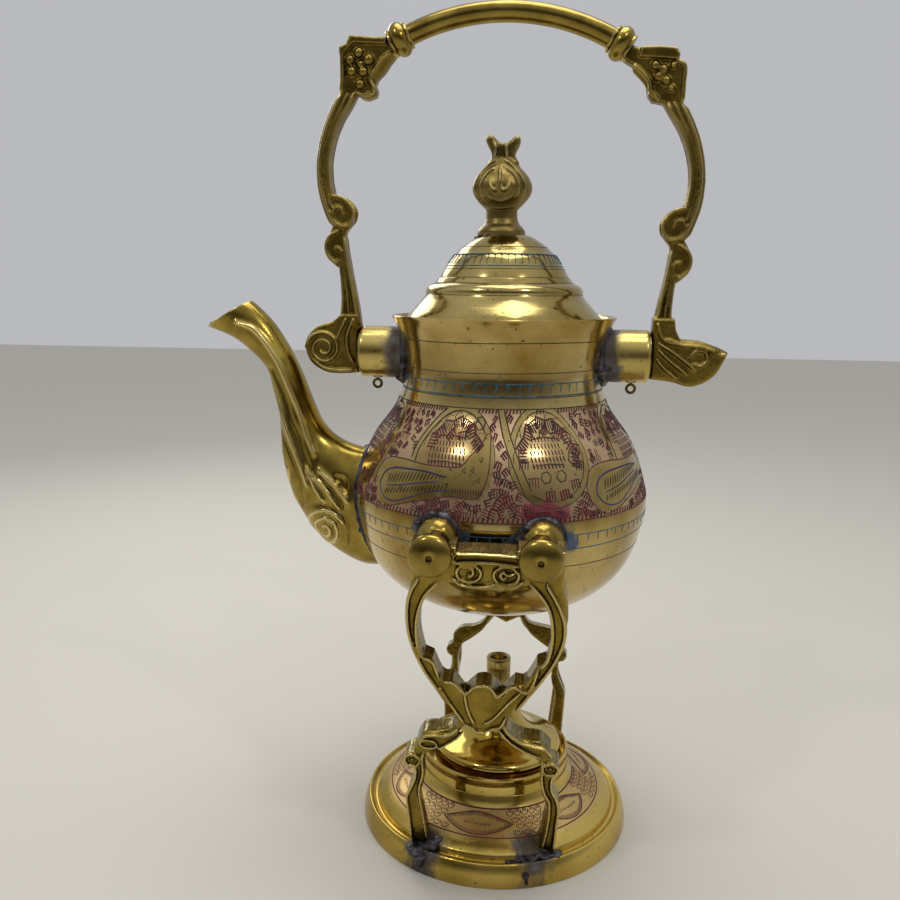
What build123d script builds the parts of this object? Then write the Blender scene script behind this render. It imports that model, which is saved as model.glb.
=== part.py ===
from build123d import *
import math
import os

# Millimetres and degrees. X runs from the spout to the handle's beaked foot, Y runs from the front
# of the pot to its back, Z is up, and the origin is the middle of the base's underside.

# Base dish, spun from sheet
base_radius = 45.0
base_wall = 1.2
foot_band = 1.2
ridge_inset = 1.7
ridge_height = 7.0
ridge_width = 0.8
groove_depth = 1.0
ledge_inset = 5.0
ledge_height = 8.0
dome_top_radius = 25.0
dome_top_height = 18.4

# Ring on the dome that the lamp stands in
collar_set_in = 0.0
collar_wall = 1.1
collar_height = 5.6

# Spirit lamp, which stands loose in the ring and a little to the right of its middle
lamp_play = 2.7
lamp_x = 0.8
lamp_wall = 1.0
bowl_height = 6.2
bowl_flare = 0.4
cap_cone_height = 16.4
cap_top_radius = 5.0
cap_ring_height = 2.6
cap_ring_play = 0.25
tube_radius = 4.0
tube_bore = 2.6
tube_rise = 14.2
tube_depth = 6.0
wick_play = 0.1
wick_below_mouth = 7.0

# Side frames, cast flat and soldered on so that they lean outwards
frame_lean = 12.0
frame_set_in = 10.0
frame_thickness = 7.5
frame_sway = -1.3
sway_low = 60.0
sway_high = 92.0
relief_depth = 0.8
hook_x = 14.5
hook_height = 111.95
hook_radius = 6.5
hook_tip = 1.0
neck_play = 0.45
plaque_hole_radius = 3.6
curl_radius = 2.8

# Pot, spun from sheet
pot_wall = 1.0
bottom_radius = 15.5
belly_radius = 46.7
belly_height = 33.0
neck_radius = 31.0
neck_height = 73.2
seat_radius = 33.2
seat_depth = 4.2
mouth_radius = 35.3
mouth_height = 92.2
pot_foot_radius = 16.4
pot_foot_height = 1.5

# Studs on the belly
stud_height = 32.2
stud_neck_radius = 3.5
boss_radius = 6.2
knob_radius = 6.1
knob_length = 6.4
stud_gap = 0.6
centre_hole_radius = 0.8

# Spout
spout_wall = 1.7
strainer_hole_radius = 1.5
strainer_pitch = 4.6
strainer_height = 28.5

# Handle sockets, trunnions and wire pins
socket_drop = 11.9
socket_radius = 8.3
socket_bore = 7.0
socket_reach = 45.3
running_play = 0.08
foot_gap = 0.4
trunnion_length = 10.5
pin_x = 40.5
pin_radius = 0.45
pin_play = 0.05
pin_groove_width = 1.9
pin_groove_depth = 1.2
pin_loop_radius = 1.3

# Bail handle
arm_depth = 6.5
arm_foot_depth = 9.0
arm_lift = 1.9
grip_radius = 3.1
grip_bore = 2.2
grip_rise = 104.5
bead_radius = 5.2
bead_length = 6.4
bead_x = 33.0
bead_rise = 92.9
bead_tilt = 1.2
handle_relief = 0.8

# Lid and finial
lid_gap = 0.35
lid_wall = 1.0
lid_shoulder_radius = 24.2
lid_shoulder_rise = 11.2
lid_step_radius = 20.0
lid_step_rise = 15.8
lid_step_width = 0.9
lid_rise = 28.7
lid_crown_radius = 8.0
bezel_play = 0.5
bezel_wall = 0.9
bezel_depth = 7.0
finial_height = 30.0
finial_bulb_radius = 9.2
finial_flat = 0.86
finial_offset = -1.2
horn_lean = -1.1

# Places and heights that follow from the sizes above
ridge_radius = base_radius - ridge_inset
ledge_radius = base_radius - ledge_inset
collar_radius = dome_top_radius - collar_set_in
frame_face_y = base_radius - frame_set_in
seat_height = mouth_height - seat_depth
socket_height = mouth_height - socket_drop
lean = math.radians(frame_lean)
hook_axis_z = hook_height * math.cos(lean)
pot_z = hook_axis_z - stud_height
socket_z = pot_z + socket_height
lid_z = pot_z + seat_height
lamp_z = dome_top_height
seam_z = lamp_z + bowl_height


def inset(points, wall):
    moved = []
    for i, (r, z) in enumerate(points):
        before = points[max(i - 1, 0)]
        after = points[min(i + 1, len(points) - 1)]
        dr, dz = after[0] - before[0], after[1] - before[1]
        length = math.hypot(dr, dz)
        moved.append((r - wall * dz / length, z + wall * dr / length))
    return moved


def turned(*edges):
    return revolve(Plane.XZ * make_face(Curve() + list(edges)), Axis.Z)


def closed(*points):
    return Polyline(*points, close=True)


def tube(outer_radius, inner_radius, low, high):
    return turned(closed((inner_radius, low), (outer_radius, low),
                         (outer_radius, high), (inner_radius, high)))


def dome_outline():
    across = dome_top_radius - ledge_radius
    rise = dome_top_height - ledge_height
    shares = [(0, 0), (0.333, 0.279), (0.667, 0.481), (0.867, 0.654), (0.96, 0.827), (1, 1)]
    return [(ledge_radius + a * across, ledge_height + b * rise) for a, b in shares]


def base_edges():
    groove_z = ridge_height - groove_depth
    groove_out = ridge_radius - ridge_width - groove_depth
    rim = ThreePointArc((base_radius, foot_band),
                        ((base_radius + ridge_radius) / 2 - 0.35, (foot_band + ridge_height) / 2),
                        (ridge_radius, ridge_height))
    step = Polyline((ridge_radius, ridge_height), (ridge_radius - ridge_width, ridge_height),
                    (groove_out, groove_z), (ledge_radius + 0.4, groove_z), (ledge_radius, ledge_height))
    return [Line((base_radius, 0), (base_radius, foot_band)), rim, step, Spline(*dome_outline()),
            Line((dome_top_radius, dome_top_height), (0, dome_top_height))]


def base_block():
    return turned(*base_edges(), Line((0, dome_top_height), (0, 0)), Line((0, 0), (base_radius, 0)))


def base_dish():
    groove_z = ridge_height - groove_depth - base_wall
    inner_ledge = ledge_radius - base_wall
    under_z = dome_top_height - base_wall
    dome = inset(dome_outline(), base_wall)
    dome[0] = (inner_ledge, ledge_height - base_wall)
    dome[-1] = (dome_top_radius - base_wall, under_z)
    hollow = turned(
        Line((0, 0), (base_radius - base_wall, 0)),
        Line((base_radius - base_wall, 0), (ridge_radius - base_wall, groove_z)),
        Line((ridge_radius - base_wall, groove_z), (inner_ledge, groove_z)),
        Line((inner_ledge, groove_z), (inner_ledge, ledge_height - base_wall)),
        Spline(*dome),
        Line(dome[-1], (0, under_z)),
        Line((0, under_z), (0, 0)))
    return base_block() - hollow


def burner_collar():
    return tube(collar_radius, collar_radius - collar_wall, dome_top_height,
                dome_top_height + collar_height)


def frame_plane():
    return Plane(origin=(0, -frame_face_y, 0), x_dir=(1, 0, 0),
                 z_dir=(0, -math.cos(lean), -math.sin(lean)))


def band(outer, inner):
    return make_face(Curve() + [outer, Line(outer @ 1, inner @ 1), inner, Line(inner @ 0, outer @ 0)])


def swayed(side, points):
    placed = []
    for x, s in points:
        share = min(max((sway_high - s) / (sway_high - sway_low), 0), 1)
        placed.append((side * x + frame_sway * share, s))
    return placed


def frame_half(side):
    arm = Spline(*swayed(side, [(20.9, 107.0), (20.7, 102.0), (22.1, 95.7), (21.9, 88.5), (19.6, 80.0),
                                (15.9, 71.0), (10.7, 63.0), (8.0, 58.4), (7.1, 54.4)]))
    knee = Spline(*swayed(side, [(7.1, 54.4), (9.0, 50.9), (13.4, 49.0), (17.2, 48.3), (18.8, 46.0)]))
    leg = Polyline(*swayed(side, [(18.8, 46.0), (19.8, 42.6), (20.4, 37.4), (20.1, 32.6), (23.1, 25.2),
                                  (22.2, 9.0), (22.1, 5.0), (17.3, 5.0), (17.4, 9.0), (19.5, 25.4),
                                  (17.8, 30.4), (17.9, 38.0), (16.6, 42.6)]))
    under = Spline(*swayed(side, [(16.6, 42.6), (12.9, 45.0), (9.0, 48.2), (6.4, 52.0), (5.0, 54.0)]))
    tip = Line(*swayed(side, [(5.0, 54.0), (0, 51.6)]))
    shoulder = Polyline(*swayed(side, [(20.9, 107.0), (20.4, 110.0), (9.2, 110.0), (8.2, 111.5), (0, 111.5)]))
    return [shoulder, arm, knee, leg, under, tip]


def frame_window():
    edges = []
    for side in (1, -1):
        edges.append(Spline(*swayed(side, [(12.4, 101.9), (15.0, 99.6), (17.2, 96.0), (18.6, 91.0),
                                           (18.7, 84.5), (17.3, 77.3)])))
        edges.append(Polyline(*swayed(side, [(17.3, 77.3), (14.8, 76.2), (13.4, 72.6), (12.3, 70.2),
                                             (11.1, 69.1), (9.0, 69.5), (7.3, 67.4), (5.4, 64.6),
                                             (3.9, 66.4)])))
    ends = swayed(-1, [(3.9, 66.4)]) + swayed(1, [(3.9, 66.4)])
    edges.append(ThreePointArc(ends[0], swayed(1, [(0, 69.0)])[0], ends[1]))
    edges.append(ThreePointArc((-12.4, 101.9), (0, 100.6), (12.4, 101.9)))
    return make_face(Curve() + edges)


def hook_slot(side):
    bore = stud_neck_radius + neck_play
    outline = Circle(bore) + Pos(0, 2 * hook_radius) * Rectangle(2 * bore, 4 * hook_radius)
    level = Plane(origin=(side * hook_x, -2 * frame_face_y, hook_axis_z), x_dir=(1, 0, 0), z_dir=(0, -1, 0))
    return extrude(level * outline, -frame_face_y)


def hook_ring(side):
    above = Pos(side * hook_x, hook_height + hook_tip + hook_radius) * Rectangle(3 * hook_radius, 2 * hook_radius)
    return Pos(side * hook_x, hook_height) * Circle(hook_radius) - above


def frame_recesses(side):
    arm = band(Spline(*swayed(side, [(21.0, 99.0), (21.2, 94.6), (20.9, 88.3), (18.8, 80.6), (15.2, 72.0)])),
               Spline(*swayed(side, [(17.6, 98.0), (19.3, 93.4), (19.8, 88.0), (18.4, 80.8), (14.9, 73.0)])))
    leg = make_face(closed(*swayed(side, [(19.4, 38.0), (18.9, 32.0), (22.1, 25.0), (21.3, 12.0),
                                          (18.4, 12.0), (20.5, 25.4), (18.8, 31.0), (18.7, 37.0)])))
    cheek = make_face(closed(*swayed(side, [(11.9, 67.9), (9.5, 68.1), (6.4, 64.6), (4.5, 56.0), (9.6, 63.0)])))
    hole = Pos(side * 5.1, 105.2) * Circle(plaque_hole_radius)
    eye = Pos(*swayed(side, [(20.9, 40.2)])[0]) * Circle(curl_radius / 2)
    return [arm, leg, cheek, hole, eye]


def front_frame():
    outline = make_face(Curve() + frame_half(1) + frame_half(-1)) - frame_window()
    for side in (1, -1):
        outline += Pos(*swayed(side, [(20.9, 40.2)])[0]) * Circle(curl_radius)
        outline += hook_ring(side)
    casting = extrude(frame_plane() * outline, -frame_thickness) - hook_slot(1) - hook_slot(-1)
    panel = make_face(closed(*swayed(1, [(0, 67.6), (3.2, 66.0), (5.2, 63.4), (3.4, 56.8), (0, 54.6),
                                         (-3.4, 56.8), (-5.2, 63.4), (-3.2, 66.0)])))
    for face in [panel] + frame_recesses(1) + frame_recesses(-1):
        casting -= extrude(frame_plane() * face, -relief_depth)
    return casting - base_block()


def pot_outline():
    throat_height = neck_height + 0.554 * (seat_height - neck_height)
    return [(bottom_radius, 0), (25.8, 2.4), (35.6, 8.4), (42.6, 17.6), (belly_radius, belly_height),
            (45.3, 43.0), (41.0, 54.2), (34.0, 64.2), (neck_radius, neck_height),
            (neck_radius + 0.4, throat_height), (seat_radius, seat_height), (mouth_radius, mouth_height)]


def pot_curve(points):
    return Spline(*points, tangents=((1, 0.02), (0.45, 0.9)))


def pot_block():
    side = pot_curve(pot_outline())
    block = turned(side, Line((mouth_radius, mouth_height), (0, mouth_height)),
                   Line((0, mouth_height), (0, 0)), Line((0, 0), (bottom_radius, 0)))
    return Pos(0, 0, pot_z) * block


def strainer_holes():
    hole = Rot(0, 90, 0) * Cylinder(strainer_hole_radius, 12)
    spots = [(0, 0)] + [(strainer_pitch * math.cos(math.radians(a)), strainer_pitch * math.sin(math.radians(a)))
                        for a in range(30, 390, 60)]
    return [Pos(-belly_radius, y, pot_z + strainer_height + z) * hole for y, z in spots]


def pot_body():
    points = inset(pot_outline(), pot_wall)
    points[0] = (bottom_radius, pot_wall)
    low, high = points[0], points[-1]
    top = (mouth_radius - pot_wall, mouth_height)
    hollow = turned(pot_curve(points), Line(high, top), Line(top, (0, mouth_height)),
                    Line((0, mouth_height), (0, pot_wall)), Line((0, pot_wall), low))
    return pot_block() - Pos(0, 0, pot_z) * hollow - strainer_holes()


def pot_foot():
    disc = Pos(0, 0, pot_z) * tube(pot_foot_radius, pot_foot_radius - 5.0, -pot_foot_height, 3.0)
    return disc - pot_block()


def spout_section(upper, lower, half_width, shrink):
    centre = ((upper[0] + lower[0]) / 2, (upper[1] + lower[1]) / 2)
    rise = (upper[0] - lower[0], upper[1] - lower[1])
    half = math.hypot(*rise) / 2
    plane = Plane(origin=(centre[0], 0, pot_z + centre[1]), x_dir=(0, 1, 0), z_dir=(-rise[1], 0, rise[0]))
    return plane * Ellipse(half_width - shrink, half - shrink)


def spout_loft(shrink):
    stations = [((-38.0, 48.3), (-37.0, 9.0), 10.6), ((-46.6, 49.1), (-46.2, 9.4), 10.4),
                ((-53.6, 51.9), (-57.6, 16.0), 9.6), ((-58.6, 56.6), (-66.5, 27.0), 8.4),
                ((-61.8, 63.4), (-71.9, 41.6), 7.4), ((-65.0, 71.6), (-73.4, 59.6), 6.5),
                ((-69.6, 81.2), (-76.2, 72.4), 5.8), ((-76.4, 91.0), (-82.4, 79.6), 5.7),
                ((-86.0, 98.2), (-88.6, 84.2), 5.4), ((-96.4, 97.8), (-97.2, 87.6), 4.6)]
    return loft([spout_section(upper, lower, width, shrink) for upper, lower, width in stations])


def spout():
    tip, brow = (-96.4, 87.6), (-83.4, 95.3)
    slope = math.degrees(math.atan2(brow[1] - tip[1], brow[0] - tip[0]))
    lid_cut = Pos(tip[0], 0, pot_z + tip[1]) * Rot(0, -slope, 0) * Pos(0, 0, 15) * Box(60, 40, 30)
    return spout_loft(0) - spout_loft(spout_wall) - lid_cut - pot_block()


def stud(side, facing):
    face_y = frame_face_y + hook_height * math.sin(lean) + hook_tip * math.sin(lean)
    back_y = frame_face_y + hook_height * math.sin(lean) - frame_thickness / math.cos(lean)
    boss_end = back_y - stud_gap
    knob_start = face_y + stud_gap
    ball = Pos(0, 0, boss_end - boss_radius + 0.5) * Sphere(boss_radius)
    ball -= Pos(0, 0, boss_end + boss_radius) * Box(4 * boss_radius, 4 * boss_radius, 2 * boss_radius)
    start = boss_end - 1.0
    neck = Pos(0, 0, start) * Cylinder(stud_neck_radius, knob_start - start + 0.5,
                                       align=(Align.CENTER, Align.CENTER, Align.MIN))
    dome = Spline((knob_radius, 2.1), (0.78 * knob_radius, 0.8 * knob_length), (0, knob_length),
                  tangents=((0, 1), (-1, 0)))
    knob = turned(Line((0, 0), (4.3, 0)), Line((4.3, 0), (5.0, 0.9)), Line((5.0, 0.9), (knob_radius, 2.1)),
                  dome, Line((0, knob_length), (0, 0)))
    drill = Pos(0, 0, knob_length) * Cylinder(centre_hole_radius, 1.6)
    whole = ball + neck + Pos(0, 0, knob_start) * (knob - drill)
    axis = Plane(origin=(side * hook_x, 0, hook_axis_z), x_dir=(1, 0, 0), z_dir=(0, facing, 0))
    return axis * whole - pot_block()


def across(side, start, end, radius):
    shaft = Cylinder(radius, end - start, align=(Align.CENTER, Align.CENTER, Align.MIN))
    return Plane(origin=(side * start, 0, socket_z), x_dir=(0, 0, 1), z_dir=(side, 0, 0)) * shaft


def handle_socket(side):
    shell = across(side, neck_radius - 6, socket_reach, socket_radius)
    bore = across(side, neck_radius - 6, socket_reach + 1, socket_bore)
    hole = Pos(side * pin_x, 0, socket_z - socket_radius) * Cylinder(pin_radius + pin_play, 2 * socket_bore)
    return shell - bore - hole - pot_block()


def pin(side):
    top = socket_z - socket_bore + 0.7 * pin_groove_depth
    loop_z = socket_z - socket_radius - 0.6 - pin_loop_radius
    bottom = loop_z + pin_loop_radius - pin_radius / 2
    stem = Pos(side * pin_x, 0, bottom) * Cylinder(pin_radius, top - bottom,
                                                   align=(Align.CENTER, Align.CENTER, Align.MIN))
    return stem + Pos(side * pin_x, 0, loop_z) * Rot(90, 0, 0) * Torus(pin_loop_radius, pin_radius)


def trunnion(side):
    radius = socket_bore - running_play
    start = socket_reach + foot_gap
    shaft = across(side, start - trunnion_length, start, radius)
    half = pin_groove_width / 2
    groove = across(side, pin_x - half, pin_x + half, radius + 1)
    groove -= across(side, pin_x - half, pin_x + half, radius - pin_groove_depth)
    return shaft - groove


def lifted(side, points, lift=arm_lift):
    return [(side * x, socket_z + rise - side * lift) for x, rise in points]


def arm_outline(side):
    bow_out = Spline(*lifted(side, [(51.7, 76.5), (54.4, 71.6), (56.9, 65.4), (58.4, 58.5), (58.6, 52.6),
                                    (57.9, 46.8), (56.1, 41.2), (54.3, 37.3)]))
    curl_out = Spline(*lifted(side, [(54.3, 37.3), (56.2, 33.6), (56.5, 29.6), (55.0, 26.4), (52.0, 24.0)]))
    shin_out = Polyline(*lifted(side, [(52.0, 24.0), (51.6, 18.3), (51.9, 12.0), (53.6, 4.0), (45.0, 4.0),
                                       (45.9, 10.0)]))
    shin_in = Spline(*lifted(side, [(45.9, 10.0), (47.4, 18.5), (49.0, 26.0), (50.2, 33.0), (50.0, 35.6)]))
    curl_in = Spline(*lifted(side, [(50.0, 35.6), (48.0, 38.2), (47.8, 41.6), (49.8, 44.8), (52.4, 46.3),
                                    (54.2, 48.2)]))
    bow_in = Spline(*lifted(side, [(54.2, 48.2), (54.9, 53.5), (54.5, 59.3), (52.8, 65.0), (50.3, 69.9),
                                   (47.6, 73.7), (46.0, 76.4)]))
    corner = Polyline(*lifted(side, [(46.0, 76.4), (42.5, 77.2), (41.4, 79.1), (42.1, 82.3), (41.2, 83.1),
                                     (38.5, 86.2), (33.6, 88.8), (35.4, 93.2), (38.4, 92.2), (47.6, 91.9),
                                     (48.7, 89.9), (51.1, 88.2), (51.4, 80.6), (51.7, 76.5)]))
    return make_face(Curve() + [bow_out, curl_out, shin_out, shin_in, curl_in, bow_in, corner])


def arm_foot(side):
    wall_x = socket_reach + foot_gap
    if side < 0:
        scroll = Spline((-wall_x, -6.6), (-52.2, -7.1), (-57.5, -6.4), (-61.8, -3.4), (-63.5, 0.9),
                        (-63.0, 4.3), (-59.8, 7.8), (-54.6, 9.6))
        top = Polyline((-54.6, 9.6), (-51.6, 12.0), (-wall_x, 12.0), (-wall_x, -6.6))
        return make_face(Pos(0, socket_z) * (Curve() + [scroll, top]))
    under = Spline((wall_x, -6.8), (52.4, -7.6), (58.7, -8.9), (65.2, -5.6), (69.55, 2.2))
    top = Polyline((69.55, 2.2), (66.0, 3.4), (60.9, 5.1), (54.6, 5.6), (53.2, 8.4), (52.6, 12.0),
                   (wall_x, 12.0), (wall_x, -6.8))
    return make_face(Pos(0, socket_z) * (Curve() + [under, top]))


def grip_arc():
    left, right = [lifted(side, [(bead_x, bead_rise)], bead_tilt)[0] for side in (-1, 1)]
    return ThreePointArc(left, (0, socket_z + grip_rise - grip_radius), right)


def bead_plane(side):
    end = 0 if side < 0 else 1
    place, along = grip_arc() @ end, grip_arc() % end
    return Plane(origin=(place.X, 0, place.Y), x_dir=(0, 1, 0),
                 z_dir=(side * along.X, 0, side * along.Y))


def collar_bead(side):
    half = bead_length / 2
    barrel = turned(Line((0, -half), (3.9, -half)), Line((3.9, -half), (4.4, -0.6 * half)),
                    ThreePointArc((4.4, -0.6 * half), (bead_radius, 0), (4.4, 0.6 * half)),
                    Line((4.4, 0.6 * half), (3.7, half)), Line((3.7, half), (0, half)),
                    Line((0, half), (0, -half)))
    return bead_plane(side) * barrel - grip_rod(Circle(grip_radius))


def grip_rod(section):
    path = Plane.XZ * grip_arc()
    return sweep(Plane(origin=path @ 0, x_dir=(0, 1, 0), z_dir=path % 0) * section, path)


def handle_grip():
    return grip_rod(Circle(grip_radius) - Circle(grip_bore))


def handle_arm(side):
    front = Plane(origin=(0, 0, 0), x_dir=(1, 0, 0), z_dir=(0, -1, 0))
    arm = extrude(front * arm_outline(side), arm_depth / 2, both=True)
    arm += extrude(front * arm_foot(side), arm_foot_depth / 2, both=True)
    pocket = lifted(side, [(40.4, 90.2), (46.8, 90.2), (49.6, 87.4), (49.8, 80.2), (45.6, 78.6), (43.4, 80.2),
                           (44.0, 83.4), (41.6, 86.4)])
    pocket = front * make_face(closed(*pocket))
    for sign in (-1, 1):
        arm -= Pos(0, sign * (arm_depth / 2 - handle_relief), 0) * extrude(pocket, -sign * arm_depth)
    bead_room = bead_plane(side) * Pos(0, 0, -bead_length / 2) * Cylinder(2 * bead_radius, 2 * bead_length)
    return arm - bead_room - across(side, 0, socket_reach + foot_gap, 2 * socket_radius)


def lid_outline():
    edge = seat_radius - pot_wall - lid_gap
    return [(edge, 0), (30.4, 4.0), (27.4, 7.4), (lid_shoulder_radius, lid_shoulder_rise),
            (lid_step_radius + lid_step_width, lid_step_rise - 1.0)]


def lid_crown():
    return [(lid_step_radius, lid_step_rise), (18.2, 19.4), (15.6, 23.2), (11.8, 26.4), (lid_crown_radius, lid_rise)]


def lid_block():
    skirt, crown = lid_outline(), lid_crown()
    top = (0, lid_rise + 0.4)
    block = turned(Spline(*skirt), Line(skirt[-1], crown[0]), Spline(*crown), Line(crown[-1], top),
                   Line(top, (0, 0)), Line((0, 0), skirt[0]))
    return Pos(0, 0, lid_z) * block


def lid_hollow():
    skirt, crown = inset(lid_outline(), lid_wall), inset(lid_crown(), lid_wall)
    top = (0, lid_rise + 0.4 - lid_wall)
    foot = (skirt[0][0], -20.0)
    hollow = turned(Line(foot, skirt[0]), Spline(*skirt), Line(skirt[-1], crown[0]), Spline(*crown),
                    Line(crown[-1], top), Line(top, (0, -20.0)), Line((0, -20.0), foot))
    return Pos(0, 0, lid_z) * hollow


def lid_dome():
    return lid_block() - lid_hollow()


def lid_bezel():
    radius = neck_radius - pot_wall - bezel_play
    ring = Pos(0, 0, lid_z) * tube(radius, radius - bezel_wall, -bezel_depth, 10.0)
    return ring & lid_hollow()


def finial():
    bulb = Spline((4.8, 7.8), (8.6, 12.0), (finial_bulb_radius, 14.8), (5.2, 20.7), (3.6, 23.6))
    stem = turned(Line((0, -2), (7.3, -2)), Line((7.3, -2), (7.3, 1.7)),
                  Spline((7.3, 1.7), (5.3, 3.9), (4.7, 6.0), (4.8, 7.8)), bulb, Line((3.6, 23.6), (0, 23.6)),
                  Line((0, 23.6), (0, -2)))
    top = finial_height
    horns = make_face(closed((-3.5, 21.0), (3.5, 21.0), (horn_lean + 3.8, 25.6), (horn_lean + 5.4, 28.4),
                             (horn_lean + 5.0, top - 0.6), (horn_lean + 3.4, top - 0.4),
                             (horn_lean, top - 2.6), (horn_lean - 3.4, top - 0.2), (horn_lean - 5.2, top),
                             (horn_lean - 5.6, 28.4), (horn_lean - 3.8, 25.6)))
    fan = extrude(Plane.XZ * horns, 2.8, both=True)
    whole = scale(stem + fan, by=(1, finial_flat, 1))
    return Pos(finial_offset, 0, lid_z + lid_rise) * whole - lid_block()


def bowl_radius():
    return collar_radius - collar_wall - lamp_play


def burner_bowl():
    radius = bowl_radius()
    edge = radius + bowl_flare
    neck = bowl_height - 2.0
    inner = radius - lamp_wall
    bowl = turned(Line((0, 0), (radius - 0.8, 0)), Line((radius - 0.8, 0), (radius, 0.8)),
                  Line((radius, 0.8), (radius, neck)),
                  ThreePointArc((radius, neck), (radius + 0.7 * bowl_flare, neck + 0.8), (edge, bowl_height)),
                  Line((edge, bowl_height), (inner, bowl_height)), Line((inner, bowl_height), (inner, lamp_wall)),
                  Line((inner, lamp_wall), (0, lamp_wall)), Line((0, lamp_wall), (0, 0)))
    return Pos(lamp_x, 0, lamp_z) * bowl


def cone_points():
    edge = bowl_radius() + bowl_flare
    return [(edge - 2.1, 2.3), (15.0, 3.6), (10.5, 6.6), (7.0, 11.4), (cap_top_radius, cap_cone_height)]


def burner_cap():
    edge = bowl_radius() + bowl_flare
    points = cone_points()
    under = inset(points, lamp_wall)
    ring_radius = bowl_radius() - lamp_wall - cap_ring_play
    ring_inner = ring_radius - lamp_wall
    cap = turned(ThreePointArc((edge, 0), (edge - 0.4, 1.3), points[0]), Spline(*points),
                 Line(points[-1], (tube_radius, cap_cone_height)),
                 Line((tube_radius, cap_cone_height), (tube_radius, under[-1][1])),
                 Line((tube_radius, under[-1][1]), under[-1]) if under[-1][0] > tube_radius
                 else Line((tube_radius, under[-1][1]), (tube_radius + 0.01, under[-1][1])),
                 Spline(*reversed(under)), Line(under[0], (ring_inner, 0)),
                 Line((ring_inner, 0), (ring_inner, -cap_ring_height)),
                 Line((ring_inner, -cap_ring_height), (ring_radius, -cap_ring_height)),
                 Line((ring_radius, -cap_ring_height), (ring_radius, 0)), Line((ring_radius, 0), (edge, 0)))
    return Pos(lamp_x, 0, seam_z) * cap


def wick_tube():
    top = seam_z + cap_cone_height + tube_rise
    return Pos(lamp_x, 0, 0) * tube(tube_radius, tube_bore, seam_z + cap_cone_height - tube_depth, top)


def wick():
    top = seam_z + cap_cone_height + tube_rise - wick_below_mouth
    bottom = lamp_z + lamp_wall + 1.0
    return Pos(lamp_x, 0, bottom) * Cylinder(tube_bore - wick_play, top - bottom,
                                             align=(Align.CENTER, Align.CENTER, Align.MIN))


sides = {"left": -1, "right": 1}
parts = {
    "base_dish": base_dish(),
    "burner_collar": burner_collar(),
    "front_frame": front_frame(),
    "pot_body": pot_body(),
    "pot_foot": pot_foot(),
    "spout": spout(),
    "handle_grip": handle_grip(),
    "lid_dome": lid_dome(),
    "lid_bezel": lid_bezel(),
    "finial": finial(),
    "burner_bowl": burner_bowl(),
    "burner_cap": burner_cap(),
    "wick_tube": wick_tube(),
    "wick": wick(),
}
parts["back_frame"] = Rot(0, 0, 180) * parts["front_frame"]
for word, side in sides.items():
    parts["stud_front_" + word] = stud(side, -1)
    parts["stud_back_" + word] = stud(side, 1)
    parts["socket_" + word] = handle_socket(side)
    parts["pin_" + word] = pin(side)
    parts["trunnion_" + word] = trunnion(side)
    parts["handle_arm_" + word] = handle_arm(side)
    parts["collar_bead_" + word] = collar_bead(side)

os.makedirs("parts", exist_ok=True)
for name, shape in parts.items():
    export_step(shape, "parts/" + name + ".step")
    print(name, "volume", round(shape.volume, 1))
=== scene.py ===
import bpy
import math
import random
from mathutils import Vector, Matrix


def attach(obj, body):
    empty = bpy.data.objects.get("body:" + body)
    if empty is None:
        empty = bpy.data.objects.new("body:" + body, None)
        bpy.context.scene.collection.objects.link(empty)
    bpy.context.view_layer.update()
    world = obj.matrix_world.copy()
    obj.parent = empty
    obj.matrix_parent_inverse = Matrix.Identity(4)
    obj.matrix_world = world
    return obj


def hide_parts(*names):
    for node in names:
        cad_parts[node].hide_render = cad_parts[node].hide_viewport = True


# A brass kettle hung in a cast stand over a small spirit lamp.
# The scene is in metres in the frame of the CAD model. Sizes in the dictionaries are millimetres:
# a piece is modelled with one unit to the millimetre and then shrunk into the frame.

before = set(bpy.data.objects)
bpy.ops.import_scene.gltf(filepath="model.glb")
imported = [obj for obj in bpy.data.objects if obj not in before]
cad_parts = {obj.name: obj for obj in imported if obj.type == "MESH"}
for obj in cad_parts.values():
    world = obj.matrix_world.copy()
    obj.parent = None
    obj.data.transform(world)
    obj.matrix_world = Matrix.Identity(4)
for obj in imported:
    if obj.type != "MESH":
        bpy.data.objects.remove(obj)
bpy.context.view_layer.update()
mm = 0.001
print("frame loaded,", len(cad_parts), "nodes")


def clearSelection():
    if bpy.context.object and bpy.context.object.mode != 'OBJECT':
        bpy.ops.object.mode_set(mode='OBJECT')
    bpy.ops.object.select_all(action='DESELECT')


def pickOnly(obj):
    clearSelection()
    obj.select_set(True)
    bpy.context.view_layer.objects.active = obj


def editMode(on=True):
    bpy.ops.object.mode_set(mode='EDIT' if on else 'OBJECT')


def settle(obj):
    pickOnly(obj)
    bpy.ops.object.transform_apply(location=True, rotation=True, scale=True)


def toMetres(obj):
    settle(obj)
    obj.scale = (mm, mm, mm)
    settle(obj)
    return obj


def applyAll(obj):
    pickOnly(obj)
    for modifier in list(obj.modifiers):
        bpy.ops.object.modifier_apply(modifier=modifier.name)


def shadeByAngle(obj, degrees):
    pickOnly(obj)
    bpy.ops.object.shade_smooth_by_angle(angle=math.radians(degrees))


def finished(obj, degrees=40):
    toMetres(obj)
    shadeByAngle(obj, degrees)
    return obj


def clamped(value):
    return min(1.0, max(0.0, value))


def aroundFront(radius, degrees, z):
    # a point at an angle from the front, seen from above
    t = math.radians(degrees)
    return (radius * math.sin(t), -radius * math.cos(t), z)


def dress(obj, *materials):
    obj.data.materials.clear()
    for material in materials:
        obj.data.materials.append(material)


def place(obj, body, material, nodes=()):
    dress(obj, material)
    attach(obj, body)
    if nodes:
        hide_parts(*nodes)
    return obj


def turn(obj, x=0, y=0, z=0, to=(0, 0, 0)):
    obj.rotation_euler = [math.radians(v) for v in (x, y, z)]
    obj.location = to
    settle(obj)
    return obj


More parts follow.
